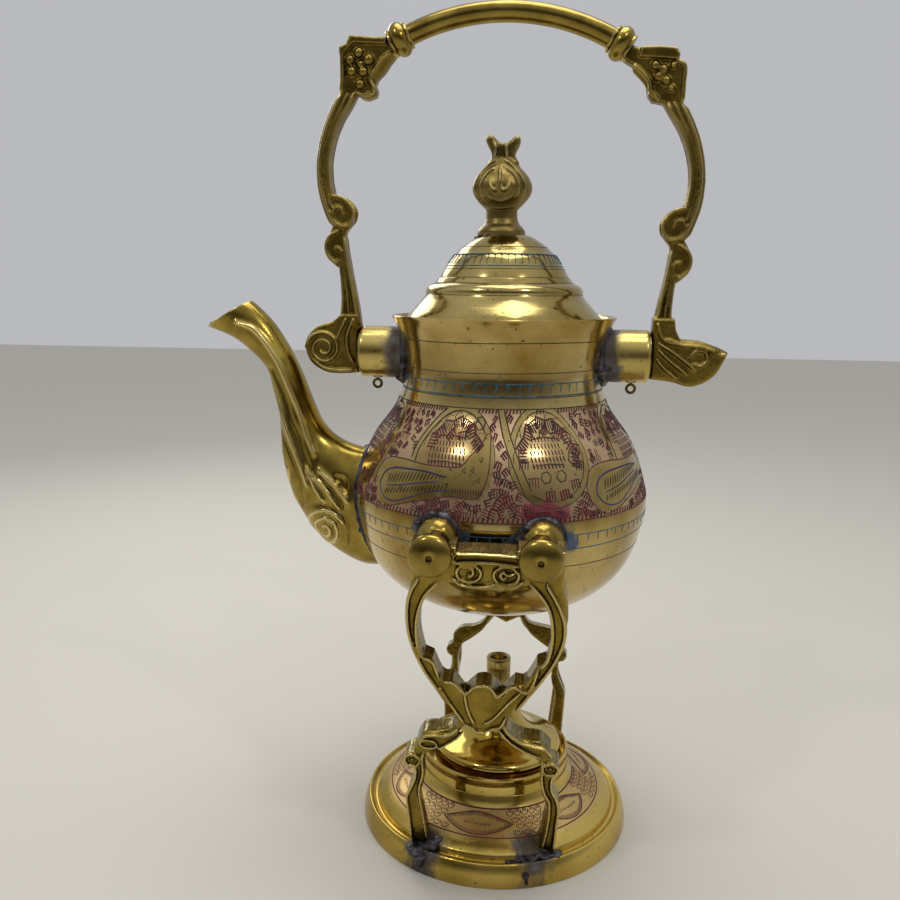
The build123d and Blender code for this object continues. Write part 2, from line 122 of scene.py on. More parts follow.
def carve(obj, cutter):
    pickOnly(obj)
    cut = obj.modifiers.new("cut", 'BOOLEAN')
    cut.object = cutter
    cut.operation = 'DIFFERENCE'
    cut.solver = 'EXACT'
    bpy.ops.object.modifier_apply(modifier=cut.name)


def smoothLine(points, gap=1.5, closed=False):
    # a soft curve through the points, with a step about every gap millimetres
    out = []
    n = len(points)
    for i in range(n if closed else n - 1):
        p1, p2 = Vector(points[i]), Vector(points[(i + 1) % n])
        p0 = Vector(points[i - 1]) if closed or i else p1 * 2 - p2
        p3 = Vector(points[(i + 2) % n]) if closed or i + 2 < n else p2 * 2 - p1
        count = max(1, round((p2 - p1).length / gap))
        for k in range(count):
            t = k / count
            spot = (p1 * 2 + (p2 - p0) * t + (p0 * 2 - p1 * 5 + p2 * 4 - p3) * t * t
                    + (p1 * 3 - p0 - p2 * 3 + p3) * t * t * t) / 2
            out.append(tuple(spot))
    if not closed:
        out.append(tuple(points[-1]))
    return out


def between(first, second, share, count=24):
    # a line part of the way from one curve to another
    out = []
    for k in range(count + 1):
        spots = []
        for line in (first, second):
            at = k / count * (len(line) - 1)
            i = min(int(at), len(line) - 2)
            spots.append(Vector(line[i]).lerp(Vector(line[i + 1]), at - i))
        out.append(tuple(spots[0].lerp(spots[1], share)))
    return out


def spiral(cx, cy, small, large, start, turns, count=40):
    out = []
    for k in range(count + 1):
        t = k / count
        angle = math.radians(start) + t * turns * 2 * math.pi
        radius = small + (large - small) * t
        out.append((cx + radius * math.cos(angle), cy + radius * math.sin(angle)))
    return out


def lathe(name, outline, steps=160, bevel=0.0, units=False):
    # one point is drawn along the outline (radius, height) and the line is spun round Z
    clearSelection()
    bpy.ops.mesh.primitive_plane_add(size=1)
    obj = bpy.context.object
    obj.name = name
    editMode()
    bpy.ops.mesh.merge(type='CENTER')
    bpy.ops.transform.translate(value=(outline[0][0], 0, outline[0][1]))
    for (r0, z0), (r1, z1) in zip(outline, outline[1:]):
        bpy.ops.mesh.extrude_vertices_move(TRANSFORM_OT_translate={"value": (r1 - r0, 0, z1 - z0)})
    bpy.ops.mesh.select_all(action='SELECT')
    bpy.ops.mesh.spin(steps=steps, angle=2 * math.pi, center=(0, 0, 0), axis=(0, 0, 1))
    bpy.ops.mesh.select_all(action='SELECT')
    bpy.ops.mesh.remove_doubles(threshold=0.002)
    bpy.ops.mesh.normals_make_consistent(inside=False)
    editMode(False)
    if bevel:
        soft = obj.modifiers.new("soft edges", 'BEVEL')
        soft.width = bevel
        soft.segments = 2
        soft.limit_method = 'ANGLE'
        soft.angle_limit = math.radians(28)
        applyAll(obj)
    return obj if units else finished(obj)


def newCurve(name, flat):
    clearSelection()
    bpy.ops.curve.primitive_bezier_circle_add(radius=1)
    obj = bpy.context.object
    obj.name = name
    obj.data.splines.clear()
    obj.data.dimensions = '2D' if flat else '3D'
    return obj


def slab(name, loops, depth, low, soft=0.0):
    # flat loops of (x, y), the first the rim and the rest holes, drawn up into a slab from z = low
    obj = newCurve(name, True)
    curve = obj.data
    curve.fill_mode = 'BOTH'
    for loop in loops:
        spline = curve.splines.new('POLY')
        spline.points.add(len(loop) - 1)
        for point, (x, y) in zip(spline.points, loop):
            point.co = (x, y, 0, 1)
        spline.use_cyclic_u = True
    curve.extrude = depth / 2 - soft
    curve.bevel_depth = soft
    curve.bevel_resolution = 2
    curve.offset = -soft
    bpy.ops.object.convert(target='MESH')
    obj = bpy.context.object
    editMode()
    bpy.ops.mesh.select_all(action='SELECT')
    bpy.ops.mesh.remove_doubles(threshold=0.001)
    bpy.ops.mesh.normals_make_consistent(inside=False)
    bpy.ops.transform.translate(value=(0, 0, low + depth / 2))
    editMode(False)
    return obj


def rods(name, runs, sides=2, taper=0.3, tip=0.4):
    # each run: (points, radius) or (points, radius, closed)
    obj = newCurve(name, False)
    curve = obj.data
    curve.bevel_depth = 1.0
    curve.bevel_resolution = sides
    curve.use_fill_caps = True
    for points, radius, *closed in runs:
        spline = curve.splines.new('POLY')
        spline.points.add(len(points) - 1)
        last = len(points) - 1
        for i, (point, spot) in enumerate(zip(spline.points, points)):
            point.co = (*spot, 1)
            point.radius = radius * (1.0 if closed else min(1.0, tip + taper * min(i, last - i)))
        spline.use_cyclic_u = bool(closed)
    bpy.ops.object.convert(target='MESH')
    return bpy.context.object


def ridge(points, top, deep, wide, closed=()):
    # a raised line: a broad rod low down and a narrow one on it; points (x, y), top and foot in z
    return [([(x, y, deep + wide * 0.5) for x, y in points], wide, *closed),
            ([(x, y, top - wide * 0.72) for x, y in points], wide * 0.72, *closed)]


def ball(spot, radius, squash=(1, 1, 1)):
    clearSelection()
    bpy.ops.mesh.primitive_ico_sphere_add(subdivisions=2, radius=radius, location=spot, scale=squash)
    return bpy.context.object


def joined(name, pieces):
    clearSelection()
    for piece in pieces:
        piece.select_set(True)
    bpy.context.view_layer.objects.active = pieces[0]
    if len(pieces) > 1:
        bpy.ops.object.join()
    obj = bpy.context.object
    obj.name = name
    settle(obj)
    return obj


def fuse(name, pieces, voxel, rounds=3, strength=0.5, wobble=None):
    # one skin over the joined pieces, softened, as a sand casting comes out
    obj = joined(name, pieces)
    skin = obj.modifiers.new("one skin", 'REMESH')
    skin.mode = 'VOXEL'
    skin.voxel_size = voxel
    smooth = obj.modifiers.new("soft edges", 'SMOOTH')
    smooth.factor = strength
    smooth.iterations = rounds
    if wobble:
        uneven = bpy.data.textures.new(name + " uneven", 'CLOUDS')
        uneven.noise_scale = wobble[0]
        rough = obj.modifiers.new("cast surface", 'DISPLACE')
        rough.texture = uneven
        rough.strength = wobble[1]
        rough.mid_level = 0.5
    applyAll(obj)
    bpy.ops.object.shade_smooth()
    return obj


def twin(obj, name, mirror=False):
    # a copy with a mesh of its own, mirrored across the middle if asked
    pickOnly(obj)
    bpy.ops.object.duplicate(linked=False)
    copy = bpy.context.object
    copy.name = name
    if mirror:
        copy.scale = (-1, 1, 1)
        settle(copy)
        editMode()
        bpy.ops.mesh.select_all(action='SELECT')
        bpy.ops.mesh.normals_make_consistent(inside=False)
        editMode(False)
    return copy


def drop(*objects):
    clearSelection()
    for obj in objects:
        obj.select_set(True)
    bpy.ops.object.delete()


def inside(loop, x, y):
    hit = False
    for (x0, y0), (x1, y1) in zip(loop, loop[1:] + loop[:1]):
        if (y0 > y) != (y1 > y) and x < (x1 - x0) * (y - y0) / (y1 - y0) + x0:
            hit = not hit
    return hit


def paint(obj, name, shade):
    # a number at every point of the mesh, which the piece's material reads
    layer = obj.data.attributes.new(name, 'FLOAT', 'POINT')
    layer.data.foreach_set("value", [shade(v.co / mm) for v in obj.data.vertices])


def onLine(line, height):
    # the radius of an outline of (radius, height) at a height
    for (r0, z0), (r1, z1) in zip(line, line[1:]):
        if z0 <= height <= z1:
            return r0 + (r1 - r0) * (height - z0) / max(z1 - z0, 1e-6)
    return line[-1][0]


# camera, floor and light
camera = {"lens": 35.2, "place": (15.57, -280.98, 179.73), "pitch": 0.188, "yaw": 0.114, "roll": 0.010}
floorLook = {"colour": "#CFCABF", "size": 4.0}
skyLook = {"far": "#C2C3C6", "near": "#565452", "top": "#D9DADC", "strength": 0.9}
lamps = [
    # name, place in mm, size in mm, power in watts
    ("keyLeft", (-330, -360, 680), 55, 0.5),
    ("keyRight", (300, -340, 640), 50, 0.4),
    ("topSoft", (40, 60, 780), 420, 2.0),
    ("backRim", (-300, 420, 420), 260, 0.7),
]


def srgb(code):
    # sRGB hex to the linear colour that the shaders use
    out = []
    for i in (1, 3, 5):
        c = int(code[i:i + 2], 16) / 255
        out.append(c / 12.92 if c <= 0.04045 else ((c + 0.055) / 1.055) ** 2.4)
    return (*out, 1.0)


def addNode(tree, kind, settings=None, links=None):
    # settings: an attribute, or an input by its name or number; colours in hex; stops are a ramp's
    node = tree.nodes.new(kind)
    for key, value in (settings or {}).items():
        if key == "stops":
            elements = node.color_ramp.elements
            while len(elements) < len(value):
                elements.new(1.0)
            for element, (spot, shade) in zip(elements, value):
                element.position = spot
                element.color = srgb(shade) if isinstance(shade, str) else (shade, shade, shade, 1)
        elif isinstance(key, int) or key in node.inputs:
            isColour = isinstance(value, str) and value.startswith("#")
            node.inputs[key].default_value = srgb(value) if isColour else value
        else:
            setattr(node, key, value)
    for key, source in (links or {}).items():
        tree.links.new(source, node.inputs[key])
    return node


def addCamera():
    pitch, yaw, roll = camera["pitch"], camera["yaw"], camera["roll"]
    ahead = Vector((-math.sin(yaw) * math.cos(pitch), math.cos(yaw) * math.cos(pitch), -math.sin(pitch)))
    right = Vector((math.cos(yaw), math.sin(yaw), 0))
    up = right.cross(ahead)
    rightR = right * math.cos(roll) + up * math.sin(roll)
    upR = -right * math.sin(roll) + up * math.cos(roll)
    bpy.ops.object.camera_add(location=[v * mm for v in camera["place"]])
    cam = bpy.context.object
    cam.name = "photoCamera"
    cam.rotation_euler = Matrix((rightR, upR, -ahead)).transposed().to_euler()
    cam.data.lens = camera["lens"]
    cam.data.sensor_width = 36
    cam.data.clip_start = 0.01
    bpy.context.scene.camera = cam


def addLamps():
    for name, spot, size, watts in lamps:
        bpy.ops.object.light_add(type='AREA', location=[v * mm for v in spot])
        lamp = bpy.context.object
        lamp.name = name
        lamp.data.size = size * mm
        lamp.data.energy = watts
        aim = Vector((0, 0, 0.11)) - lamp.location
        lamp.rotation_euler = aim.to_track_quat('-Z', 'Y').to_euler()


def addSky():
    # a pale studio: lighter above, darker on the near side
    world = bpy.data.worlds.new("softStudio")
    bpy.context.scene.world = world
    world.use_nodes = True
    tree = world.node_tree
    way = addNode(tree, "ShaderNodeTexCoord").outputs["Generated"]
    parts = addNode(tree, "ShaderNodeSeparateXYZ", links={0: way})
    nearFar = addNode(tree, "ShaderNodeMapRange", {1: -0.9, 2: 0.25}, {0: parts.outputs["Y"]})
    height = addNode(tree, "ShaderNodeMapRange", {1: 0.25, 2: 0.85}, {0: parts.outputs["Z"]})
    level = addNode(tree, "ShaderNodeMix", {"data_type": 'RGBA', 6: skyLook["near"], 7: skyLook["far"]},
                    {0: nearFar.outputs[0]})
    sky = addNode(tree, "ShaderNodeMix", {"data_type": 'RGBA', 7: skyLook["top"]},
                  {0: height.outputs[0], 6: level.outputs[2]})
    back = tree.nodes["Background"]
    tree.links.new(sky.outputs[2], back.inputs["Color"])
    back.inputs["Strength"].default_value = skyLook["strength"]


def newMaterial(name):
    material = bpy.data.materials.new(name)
    material.use_nodes = True
    tree = material.node_tree
    return material, tree, tree.nodes["Principled BSDF"]


def addFloor():
    clearSelection()
    bpy.ops.mesh.primitive_plane_add(size=floorLook["size"])
    floor = bpy.context.object
    floor.name = "floor"
    editMode()
    bpy.ops.mesh.select_all(action='SELECT')
    bpy.ops.mesh.subdivide(number_cuts=3)
    editMode(False)
    # Matt laminate, a plain table top: an even pale ground that takes soft shadows.
    laminate, tree, shader = newMaterial("laminate, matt")
    shader.inputs["Base Color"].default_value = srgb(floorLook["colour"])
    shader.inputs["Roughness"].default_value = 0.6
    dress(floor, laminate)


addCamera()
addLamps()
addSky()
addFloor()
bpy.context.scene.view_settings.view_transform = 'Standard'
print("camera, floor and light set")


def spunBrass(name, look):
    # Spun sheet brass, buffed: mirror-like, with faint turning lines, clouds of tarnish and a few specks.
    # Where it was cut into, the ground is satin and pinkish; near the joints it is stained by heat.
    material, tree, shader = newMaterial(name)
    where = addNode(tree, "ShaderNodeTexCoord").outputs["Object"]
    cloud = addNode(tree, "ShaderNodeTexNoise", {"Scale": 38, "Detail": 4, "Roughness": 0.55},
                    {"Vector": where})  # tarnish clouds about 25 mm across
    specks = addNode(tree, "ShaderNodeTexNoise", {"Scale": 650, "Detail": 2}, {"Vector": where})  # 1.5 mm
    parts = addNode(tree, "ShaderNodeSeparateXYZ", links={0: where})
    level = addNode(tree, "ShaderNodeCombineXYZ", links={"Z": parts.outputs["Z"]})
    turning = addNode(tree, "ShaderNodeTexNoise", {"Scale": 1300, "Detail": 2},
                      {"Vector": level.outputs[0]})  # turning lines 0.7 mm apart, coarser than real
    tarnish = addNode(tree, "ShaderNodeValToRGB", {"stops": [(0.34, look["dull"]), (0.62, look["bright"])]},
                      {"Fac": cloud.outputs["Fac"]})
    speckle = addNode(tree, "ShaderNodeValToRGB", {"stops": [(0.27, "#3E2E0C"), (0.33, "#FFFFFF")]},
                      {"Fac": specks.outputs["Fac"]})
    colour = addNode(tree, "ShaderNodeMix", {"data_type": 'RGBA', "blend_type": 'MULTIPLY', 0: 0.7},
                     {6: tarnish.outputs[0], 7: speckle.outputs[0]}).outputs[2]
    low, high = look["gloss"]
    rough = addNode(tree, "ShaderNodeMath", {"operation": 'MULTIPLY_ADD', 1: high - low, 2: low},
                    {0: cloud.outputs["Fac"]}).outputs[0]
    if look.get("ground"):
        ground = addNode(tree, "ShaderNodeAttribute", {"attribute_name": "ground"}).outputs["Fac"]
        satin = addNode(tree, "ShaderNodeMath", {"operation": 'MULTIPLY', 1: 0.5}, {0: ground}).outputs[0]
        colour = addNode(tree, "ShaderNodeMix", {"data_type": 'RGBA', 7: look["ground"]},
                         {0: satin, 6: colour}).outputs[2]
        rough = addNode(tree, "ShaderNodeMath", {"operation": 'MULTIPLY_ADD', 1: 0.2},
                        {0: ground, 2: rough}).outputs[0]
    if look.get("stain"):
        smoke = addNode(tree, "ShaderNodeTexNoise", {"Scale": 240, "Detail": 5, "Roughness": 0.65},
                        {"Vector": where})  # sooty patches 4 mm across
        near = addNode(tree, "ShaderNodeAttribute", {"attribute_name": "stain"}).outputs["Fac"]
        broken = addNode(tree, "ShaderNodeMath", {"operation": 'ADD'}, {0: near, 1: smoke.outputs["Fac"]})
        share = addNode(tree, "ShaderNodeMapRange", {1: 0.95, 2: 1.3, 3: 0.0, 4: 0.9},
                        {0: broken.outputs[0]}).outputs[0]
        burnt = addNode(tree, "ShaderNodeValToRGB",
                        {"stops": [(0.35, "#1E1A22"), (0.52, look["stain"]), (0.68, "#63636E")]},
                        {"Fac": smoke.outputs["Fac"]})
        colour = addNode(tree, "ShaderNodeMix", {"data_type": 'RGBA'},
                         {0: share, 6: colour, 7: burnt.outputs[0]}).outputs[2]
        for layer, shade in look.get("dyes", ()):
            # lacquer that ran out of the cuts beside the bosses
            spread = addNode(tree, "ShaderNodeAttribute", {"attribute_name": layer}).outputs["Fac"]
            torn = addNode(tree, "ShaderNodeMath", {"operation": 'ADD'}, {0: spread, 1: smoke.outputs["Fac"]})
            dyed = addNode(tree, "ShaderNodeMapRange", {1: 0.95, 2: 1.2, 3: 0.0, 4: 0.8},
                           {0: torn.outputs[0]}).outputs[0]
            colour = addNode(tree, "ShaderNodeMix", {"data_type": 'RGBA', 7: shade},
                             {0: dyed, 6: colour}).outputs[2]
            share = addNode(tree, "ShaderNodeMath", {"operation": 'MAXIMUM'}, {0: share, 1: dyed}).outputs[0]
        rough = addNode(tree, "ShaderNodeMath", {"operation": 'MULTIPLY_ADD', 1: 0.3},
                        {0: share, 2: rough}).outputs[0]
        metal = addNode(tree, "ShaderNodeMath", {"operation": 'MULTIPLY_ADD', 1: -0.75, 2: 1.0}, {0: share})
        tree.links.new(metal.outputs[0], shader.inputs["Metallic"])
    tree.links.new(colour, shader.inputs["Base Color"])
    tree.links.new(rough, shader.inputs["Roughness"])
    lines = addNode(tree, "ShaderNodeBump", {"Strength": 0.05, "Distance": 0.0002},
                    {"Height": turning.outputs["Fac"]})
    wave = addNode(tree, "ShaderNodeTexNoise", {"Scale": 60, "Detail": 1}, {"Vector": where})
    dents = addNode(tree, "ShaderNodeBump", {"Strength": look.get("dents", 0.1), "Distance": 0.0015},
                    {"Height": wave.outputs["Fac"], "Normal": lines.outputs[0]})
    tree.links.new(dents.outputs[0], shader.inputs["Normal"])
    shader.inputs["Metallic"].default_value = 1.0
    return material


def castBrass(name, look):
    # Sand-cast brass, filed and aged: worn bright on its edges, olive on the faces; the hollows get painted
    # shade, an occlusion mask darkening them brown-black, standing for both grime and shade.
    material, tree, shader = newMaterial(name)
    where = addNode(tree, "ShaderNodeTexCoord").outputs["Object"]
    # painted shade: occlusion darkens the hollows towards the grime colour, part grime and part shade
    hollowShade = addNode(tree, "ShaderNodeAmbientOcclusion", {"samples": 8, "Distance": look["reach"] * mm})
    edge = addNode(tree, "ShaderNodeAmbientOcclusion", {"samples": 6, "inside": True, "Distance": 0.9 * mm})
    cloud = addNode(tree, "ShaderNodeTexNoise", {"Scale": 150, "Detail": 4, "Roughness": 0.6},
                    {"Vector": where})  # patches near 7 mm
    grain = addNode(tree, "ShaderNodeTexNoise", {"Scale": 1500, "Detail": 3, "Roughness": 0.6},
                    {"Vector": where})  # sand grain, drawn near 0.7 mm so that it shows
    tarnish = addNode(tree, "ShaderNodeValToRGB",
                      {"stops": [(0.36, look["dark"]), (0.66, look["mid"])]},
                      {"Fac": cloud.outputs["Fac"]})
    wear = addNode(tree, "ShaderNodeValToRGB", {"stops": [(0.5, 1.0), (0.9, 0.0)]}, {"Fac": edge.outputs["AO"]})
    worn = addNode(tree, "ShaderNodeMix", {"data_type": 'RGBA', 7: look["bright"]},
                   {0: wear.outputs[0], 6: tarnish.outputs[0]})
    # where the occlusion is strong the colour goes to the grime colour: grime and painted shade in the hollows
    clear = addNode(tree, "ShaderNodeValToRGB", {"stops": [(0.38, 0.0), (0.88, 1.0)]},
                    {"Fac": hollowShade.outputs["AO"]})
    colour = addNode(tree, "ShaderNodeMix", {"data_type": 'RGBA', 6: look["grimeAndShade"]},
                     {0: clear.outputs[0], 7: worn.outputs[2]}).outputs[2]
    if look.get("filed"):
        # faces that look neither forward nor back were ground flat: greyer and streaked
        facing = addNode(tree, "ShaderNodeSeparateXYZ",
                         links={0: addNode(tree, "ShaderNodeTexCoord").outputs["Normal"]})
        forward = addNode(tree, "ShaderNodeMath", {"operation": 'ABSOLUTE'}, {0: facing.outputs["Y"]})
        flat = addNode(tree, "ShaderNodeMapRange", {1: 0.3, 2: 0.55, 3: 0.8, 4: 0.0}, {0: forward.outputs[0]})
        stretch = addNode(tree, "ShaderNodeMapping", {"Scale": (1.0, 0.12, 1.0)}, {"Vector": where})
        streaks = addNode(tree, "ShaderNodeTexNoise", {"Scale": 1800, "Detail": 2},
                          {"Vector": stretch.outputs[0]})  # file marks near 0.6 mm, coarser than real
        dark, pale = look["filed"]
        ground = addNode(tree, "ShaderNodeValToRGB", {"stops": [(0.4, dark), (0.6, pale)]},
                         {"Fac": streaks.outputs["Fac"]})
        colour = addNode(tree, "ShaderNodeMix", {"data_type": 'RGBA'},
                         {0: flat.outputs[0], 6: colour, 7: ground.outputs[0]}).outputs[2]
    tree.links.new(colour, shader.inputs["Base Color"])
    rough = addNode(tree, "ShaderNodeMath", {"operation": 'MULTIPLY_ADD', 1: 0.2, 2: look["low"]},
                    {0: cloud.outputs["Fac"]})
    tree.links.new(rough.outputs[0], shader.inputs["Roughness"])
    bump = addNode(tree, "ShaderNodeBump", {"Strength": look.get("grain", 0.2), "Distance": 0.0003},
                   {"Height": grain.outputs["Fac"]})
    tree.links.new(bump.outputs[0], shader.inputs["Normal"])
    shader.inputs["Metallic"].default_value = 1.0
    return material


def patchy(name, first, second, size, rough, metallic, bump):
    # two shades in patches of about size millimetres
    material, tree, shader = newMaterial(name)
    where = addNode(tree, "ShaderNodeTexCoord").outputs["Object"]
    patches = addNode(tree, "ShaderNodeTexNoise", {"Scale": 1000 / size, "Detail": 4, "Roughness": 0.6},
                      {"Vector": where})
    colour = addNode(tree, "ShaderNodeValToRGB", {"stops": [(0.38, first), (0.62, second)]},
                     {"Fac": patches.outputs["Fac"]})
    tree.links.new(colour.outputs[0], shader.inputs["Base Color"])
    raised = addNode(tree, "ShaderNodeBump", {"Strength": bump, "Distance": 0.0005},
                     {"Height": patches.outputs["Fac"]})
    tree.links.new(raised.outputs[0], shader.inputs["Normal"])
    shader.inputs["Roughness"].default_value = rough
    shader.inputs["Metallic"].default_value = metallic
    return material


# in the cast looks the grime colour is both grime and painted shade, laid into the hollows by occlusion
brassLooks = {
    "pot": {"bright": "#C8B174", "dull": "#967B3A", "gloss": (0.08, 0.2), "ground": "#DDB6A0",
            "stain": "#3C3742", "dents": 0.1, "dyes": (("dyeRed", "#86103F"), ("dyeBlue", "#0F4F80"))},
    "socket": {"bright": "#CCB56C", "dull": "#A08840", "gloss": (0.14, 0.3), "stain": "#4A4750", "dents": 0.08},
    "lid": {"bright": "#BCA96C", "dull": "#8E783C", "gloss": (0.08, 0.2), "dents": 0.16},
    "base": {"bright": "#D2B662", "dull": "#A88E40", "gloss": (0.14, 0.3), "ground": "#C8A288",
             "stain": "#35313A", "dents": 0.1},
    "lamp": {"bright": "#D6BC68", "dull": "#A68A3C", "gloss": (0.07, 0.17), "dents": 0.06},
    "stand": {"bright": "#E2CC84", "mid": "#9E8538", "dark": "#7C6828", "grimeAndShade": "#241A06", "low": 0.15,
              "reach": 2.8, "filed": ("#6A6448", "#9C9268")},
    "handle": {"bright": "#D4BE78", "mid": "#927C36", "dark": "#705C26", "grimeAndShade": "#1C1404", "low": 0.2,
               "reach": 2.2, "grain": 0.35},
    "spout": {"bright": "#DEC882", "mid": "#AE9644", "dark": "#8C7634", "grimeAndShade": "#211805", "low": 0.12,
              "reach": 3.2, "grain": 0.06},
    "finial": {"bright": "#C4B078", "mid": "#96824A", "dark": "#776638", "grimeAndShade": "#1E1606", "low": 0.26,
               "reach": 2.4},
    "turned": {"bright": "#CDB66C", "mid": "#A08A42", "dark": "#857034", "grimeAndShade": "#33280F", "low": 0.12,
               "reach": 1.4, "grain": 0.05},
}
potBrass = spunBrass("spun brass, buffed and engraved", brassLooks["pot"])
lidBrass = spunBrass("spun brass, buffed", brassLooks["lid"])
baseBrass = spunBrass("spun brass, tarnished", brassLooks["base"])
lampBrass = spunBrass("spun brass, polished", brassLooks["lamp"])
standBrass = castBrass("cast brass, filed", brassLooks["stand"])
handleBrass = castBrass("cast brass, aged", brassLooks["handle"])
spoutBrass = castBrass("cast brass, rubbed", brassLooks["spout"])
finialBrass = castBrass("cast brass, tumbled", brassLooks["finial"])
turnedBrass = castBrass("turned brass, handled", brassLooks["turned"])
socketBrass = spunBrass("drawn brass tube, soldered", brassLooks["socket"])
# Drawn brass wire, left as it came: dull and brown.
wireBrass = patchy("brass wire, drawn", "#5F4E20", "#8D7838", 4, 0.38, 1.0, 0.05)
# Copper-rich tube, tinted by the flame: warm brown in lighter and darker patches.
tubeCopper = patchy("brass tube, heat tinted", "#8A7440", "#B8A262", 5, 0.2, 1.0, 0.03)
# Braided cotton, singed: soft grey.
wickCotton = patchy("cotton wick, braided", "#3B342D", "#7A7066", 0.9, 0.95, 0.0, 0.6)
# Tin-lead solder with burnt flux: lumpy, purplish grey, half dull.
solderGrey = patchy("solder, soft, with flux", "#211E22", "#5E5A60", 2.6, 0.4, 0.6, 0.25)
# Lacquer rubbed into the cuts: thin, dull and uneven in depth.
redLacquer = patchy("lacquer in the cuts, maroon", "#300810", "#6A1020", 3, 0.5, 0.0, 0.1)
violetLacquer = patchy("lacquer in the cuts, violet", "#160F30", "#38306A", 3, 0.5, 0.0, 0.1)
blueLacquer = patchy("lacquer in the cuts, teal", "#12384A", "#2C7590", 3, 0.5, 0.0, 0.1)
darkLacquer = patchy("lacquer in the cuts, brown", "#1C1208", "#4A3216", 3, 0.5, 0.0, 0.1)
print("materials made")


# the kettle's body
pot = {
    "z": 77.304, "wall": 1.0, "steps": 320,
    "outline": [(15.5, 0), (25.8, 2.4), (35.6, 8.4), (42.6, 17.6), (46.7, 33.0), (45.3, 43.0), (41.0, 54.2),
                (34.0, 64.2), (31.0, 73.2), (31.4, 81.4), (33.2, 88.0), (35.0, 91.6), (35.25, 92.0)],
    "strainer": {"radius": 1.5, "pitch": 4.6, "height": 28.5},
}


def potLine():
    line = smoothLine(pot["outline"], 0.95)
    return [(r, z + pot["z"]) for r, z in line]


def potInside():
    points = []
    outline = pot["outline"]
    for i, (r, z) in enumerate(outline[:-1]):
        before, after = outline[max(i - 1, 0)], outline[i + 1]
        away = Vector((after[0] - before[0], after[1] - before[1])).normalized() * pot["wall"]
        points.append((r - away.y, z + away.x))
    points[0] = (outline[0][0], pot["wall"])
    return [(r, z + pot["z"]) for r, z in smoothLine(points, 2.4)]


outerLine = potLine()
rim = [(35.3, 169.45), (35.1, 169.7), (34.6, 169.7), (34.2, 169.35)]
innerLine = potInside()
potBlock = lathe("potBlock", [(0, outerLine[0][1])] + outerLine + [(0, outerLine[-1][1])], 200, units=True)
potPiece = lathe("potShell", [(0, outerLine[0][1])] + outerLine + rim + innerLine[::-1]
                 + [(0, innerLine[0][1])], pot["steps"], units=True)
holes = []
strainer = pot["strainer"]
for k in range(7):
    angle = math.radians(30 + 60 * k)
    reach = strainer["pitch"] if k else 0
    clearSelection()
    bpy.ops.mesh.primitive_cylinder_add(
        vertices=20, radius=strainer["radius"], depth=12, rotation=(0, math.pi / 2, 0),
        location=(-46.7, reach * math.cos(angle), pot["z"] + strainer["height"] + reach * math.sin(angle)))
    holes.append(bpy.context.object)
drills = joined("drills", holes)
carve(potPiece, drills)
drop(drills)
finished(potPiece)
print("pot spun")

# the engraving on the belly: four times round, angles in degrees from the front, heights in millimetres
cutsLook = {"mmPerDegree": 0.806, "band": (114.5, 144.3), "repeat": 90, "seed": 11, "sunk": 0.12, "proud": 0.1,
            "red": 0.36, "blue": 0.35, "violet": 0.36, "dark": 0.28}  # sunk, proud and the four widths in mm
bird = [(-53.2, 122), (-51.6, 126.6), (-47, 128.8), (-38, 129.2), (-28, 128.7), (-18, 128.7), (-12, 129.2),
        (-8.6, 132.2), (-5.2, 134.6), (-3.2, 137.5), (-1.4, 138), (-0.9, 132), (-1.4, 127), (-3.4, 122.6),
        (-6.2, 120.8), (-15, 121), (-30, 118.1), (-40, 115.8), (-45.5, 115.2), (-50.5, 117.6)]
hoops = [(-17, 131, 14.4), (23, 132, 13.6)]
ribbon = [(1.5, 144.3), (4.2, 137), (8, 129.6), (12.4, 121.6), (14.6, 123), (10.8, 130.2), (7.2, 137.6),
          (4.6, 144.3)]
birdLoop = smoothLine(bird, 1.6, True)


def moduleAngles(angle):
    return [angle + cutsLook["repeat"] * k for k in range(-3, 4)]


def groundAt(angle, z):
    low, high = cutsLook["band"]
    if not low < z < high:
        return 0.0
    shade = 1.0
    for a in moduleAngles(angle):
        if -55 < a < 0 and inside(bird, a, z):
            return 0.0
        if 0 < a < 16 and inside(ribbon, a, z):
            return 0.0
        for centre, height, radius in hoops:
            if centre < 0 and z < 121:
                continue
            away = math.hypot((a - centre) * cutsLook["mmPerDegree"], z - height)
            if away < radius - 1.8:
                shade = min(shade, 0.3)
            elif away < radius:
                return 0.0
    return shade


def stainAt(spot):
    # dark near the studs, the spout's root and the sockets
    most = 0.0
    for x, y, z, reach in ((14.5, 43, 112, 11.5), (-14.5, 43, 112, 11.5), (-44, 0, 107, 25),
                           (31, 0, 158, 14), (-31, 0, 158, 14)):
        away = math.sqrt((spot.x - x) ** 2 + (abs(spot.y) - y) ** 2 + (spot.z - z) ** 2)
        most = max(most, clamped(1.25 - away / reach))
    if 150 < spot.z < 156:
        turned = math.degrees(math.atan2(spot.x, -spot.y))
        for patch in (-33, 2):
            most = max(most, 0.7 - abs(turned - patch) / 9 - abs(spot.z - 153) / 6)
    return most


paint(potPiece, "ground", lambda p: groundAt(math.degrees(math.atan2(p.x, -p.y)), p.z))
paint(potPiece, "stain", stainAt)


def dyeAt(spot, places):
    # soft round smears on the front; places: (x, z, reach)
    if spot.y > 0:
        return 0.0
    return max(clamped(1.2 - math.hypot(spot.x - x, spot.z - z) / reach) for x, z, reach in places)


paint(potPiece, "dyeRed", lambda p: dyeAt(p, ((11, 117.8, 4.6), (15.5, 118.6, 4.6), (20, 117.2, 4.2))))
paint(potPiece, "dyeBlue", lambda p: dyeAt(p, ((6.8, 109.3, 3.6), (21.8, 108.4, 4.4), (-7.6, 110.4, 3.0))))
place(potPiece, "kettle", potBrass, ["pot_body"])


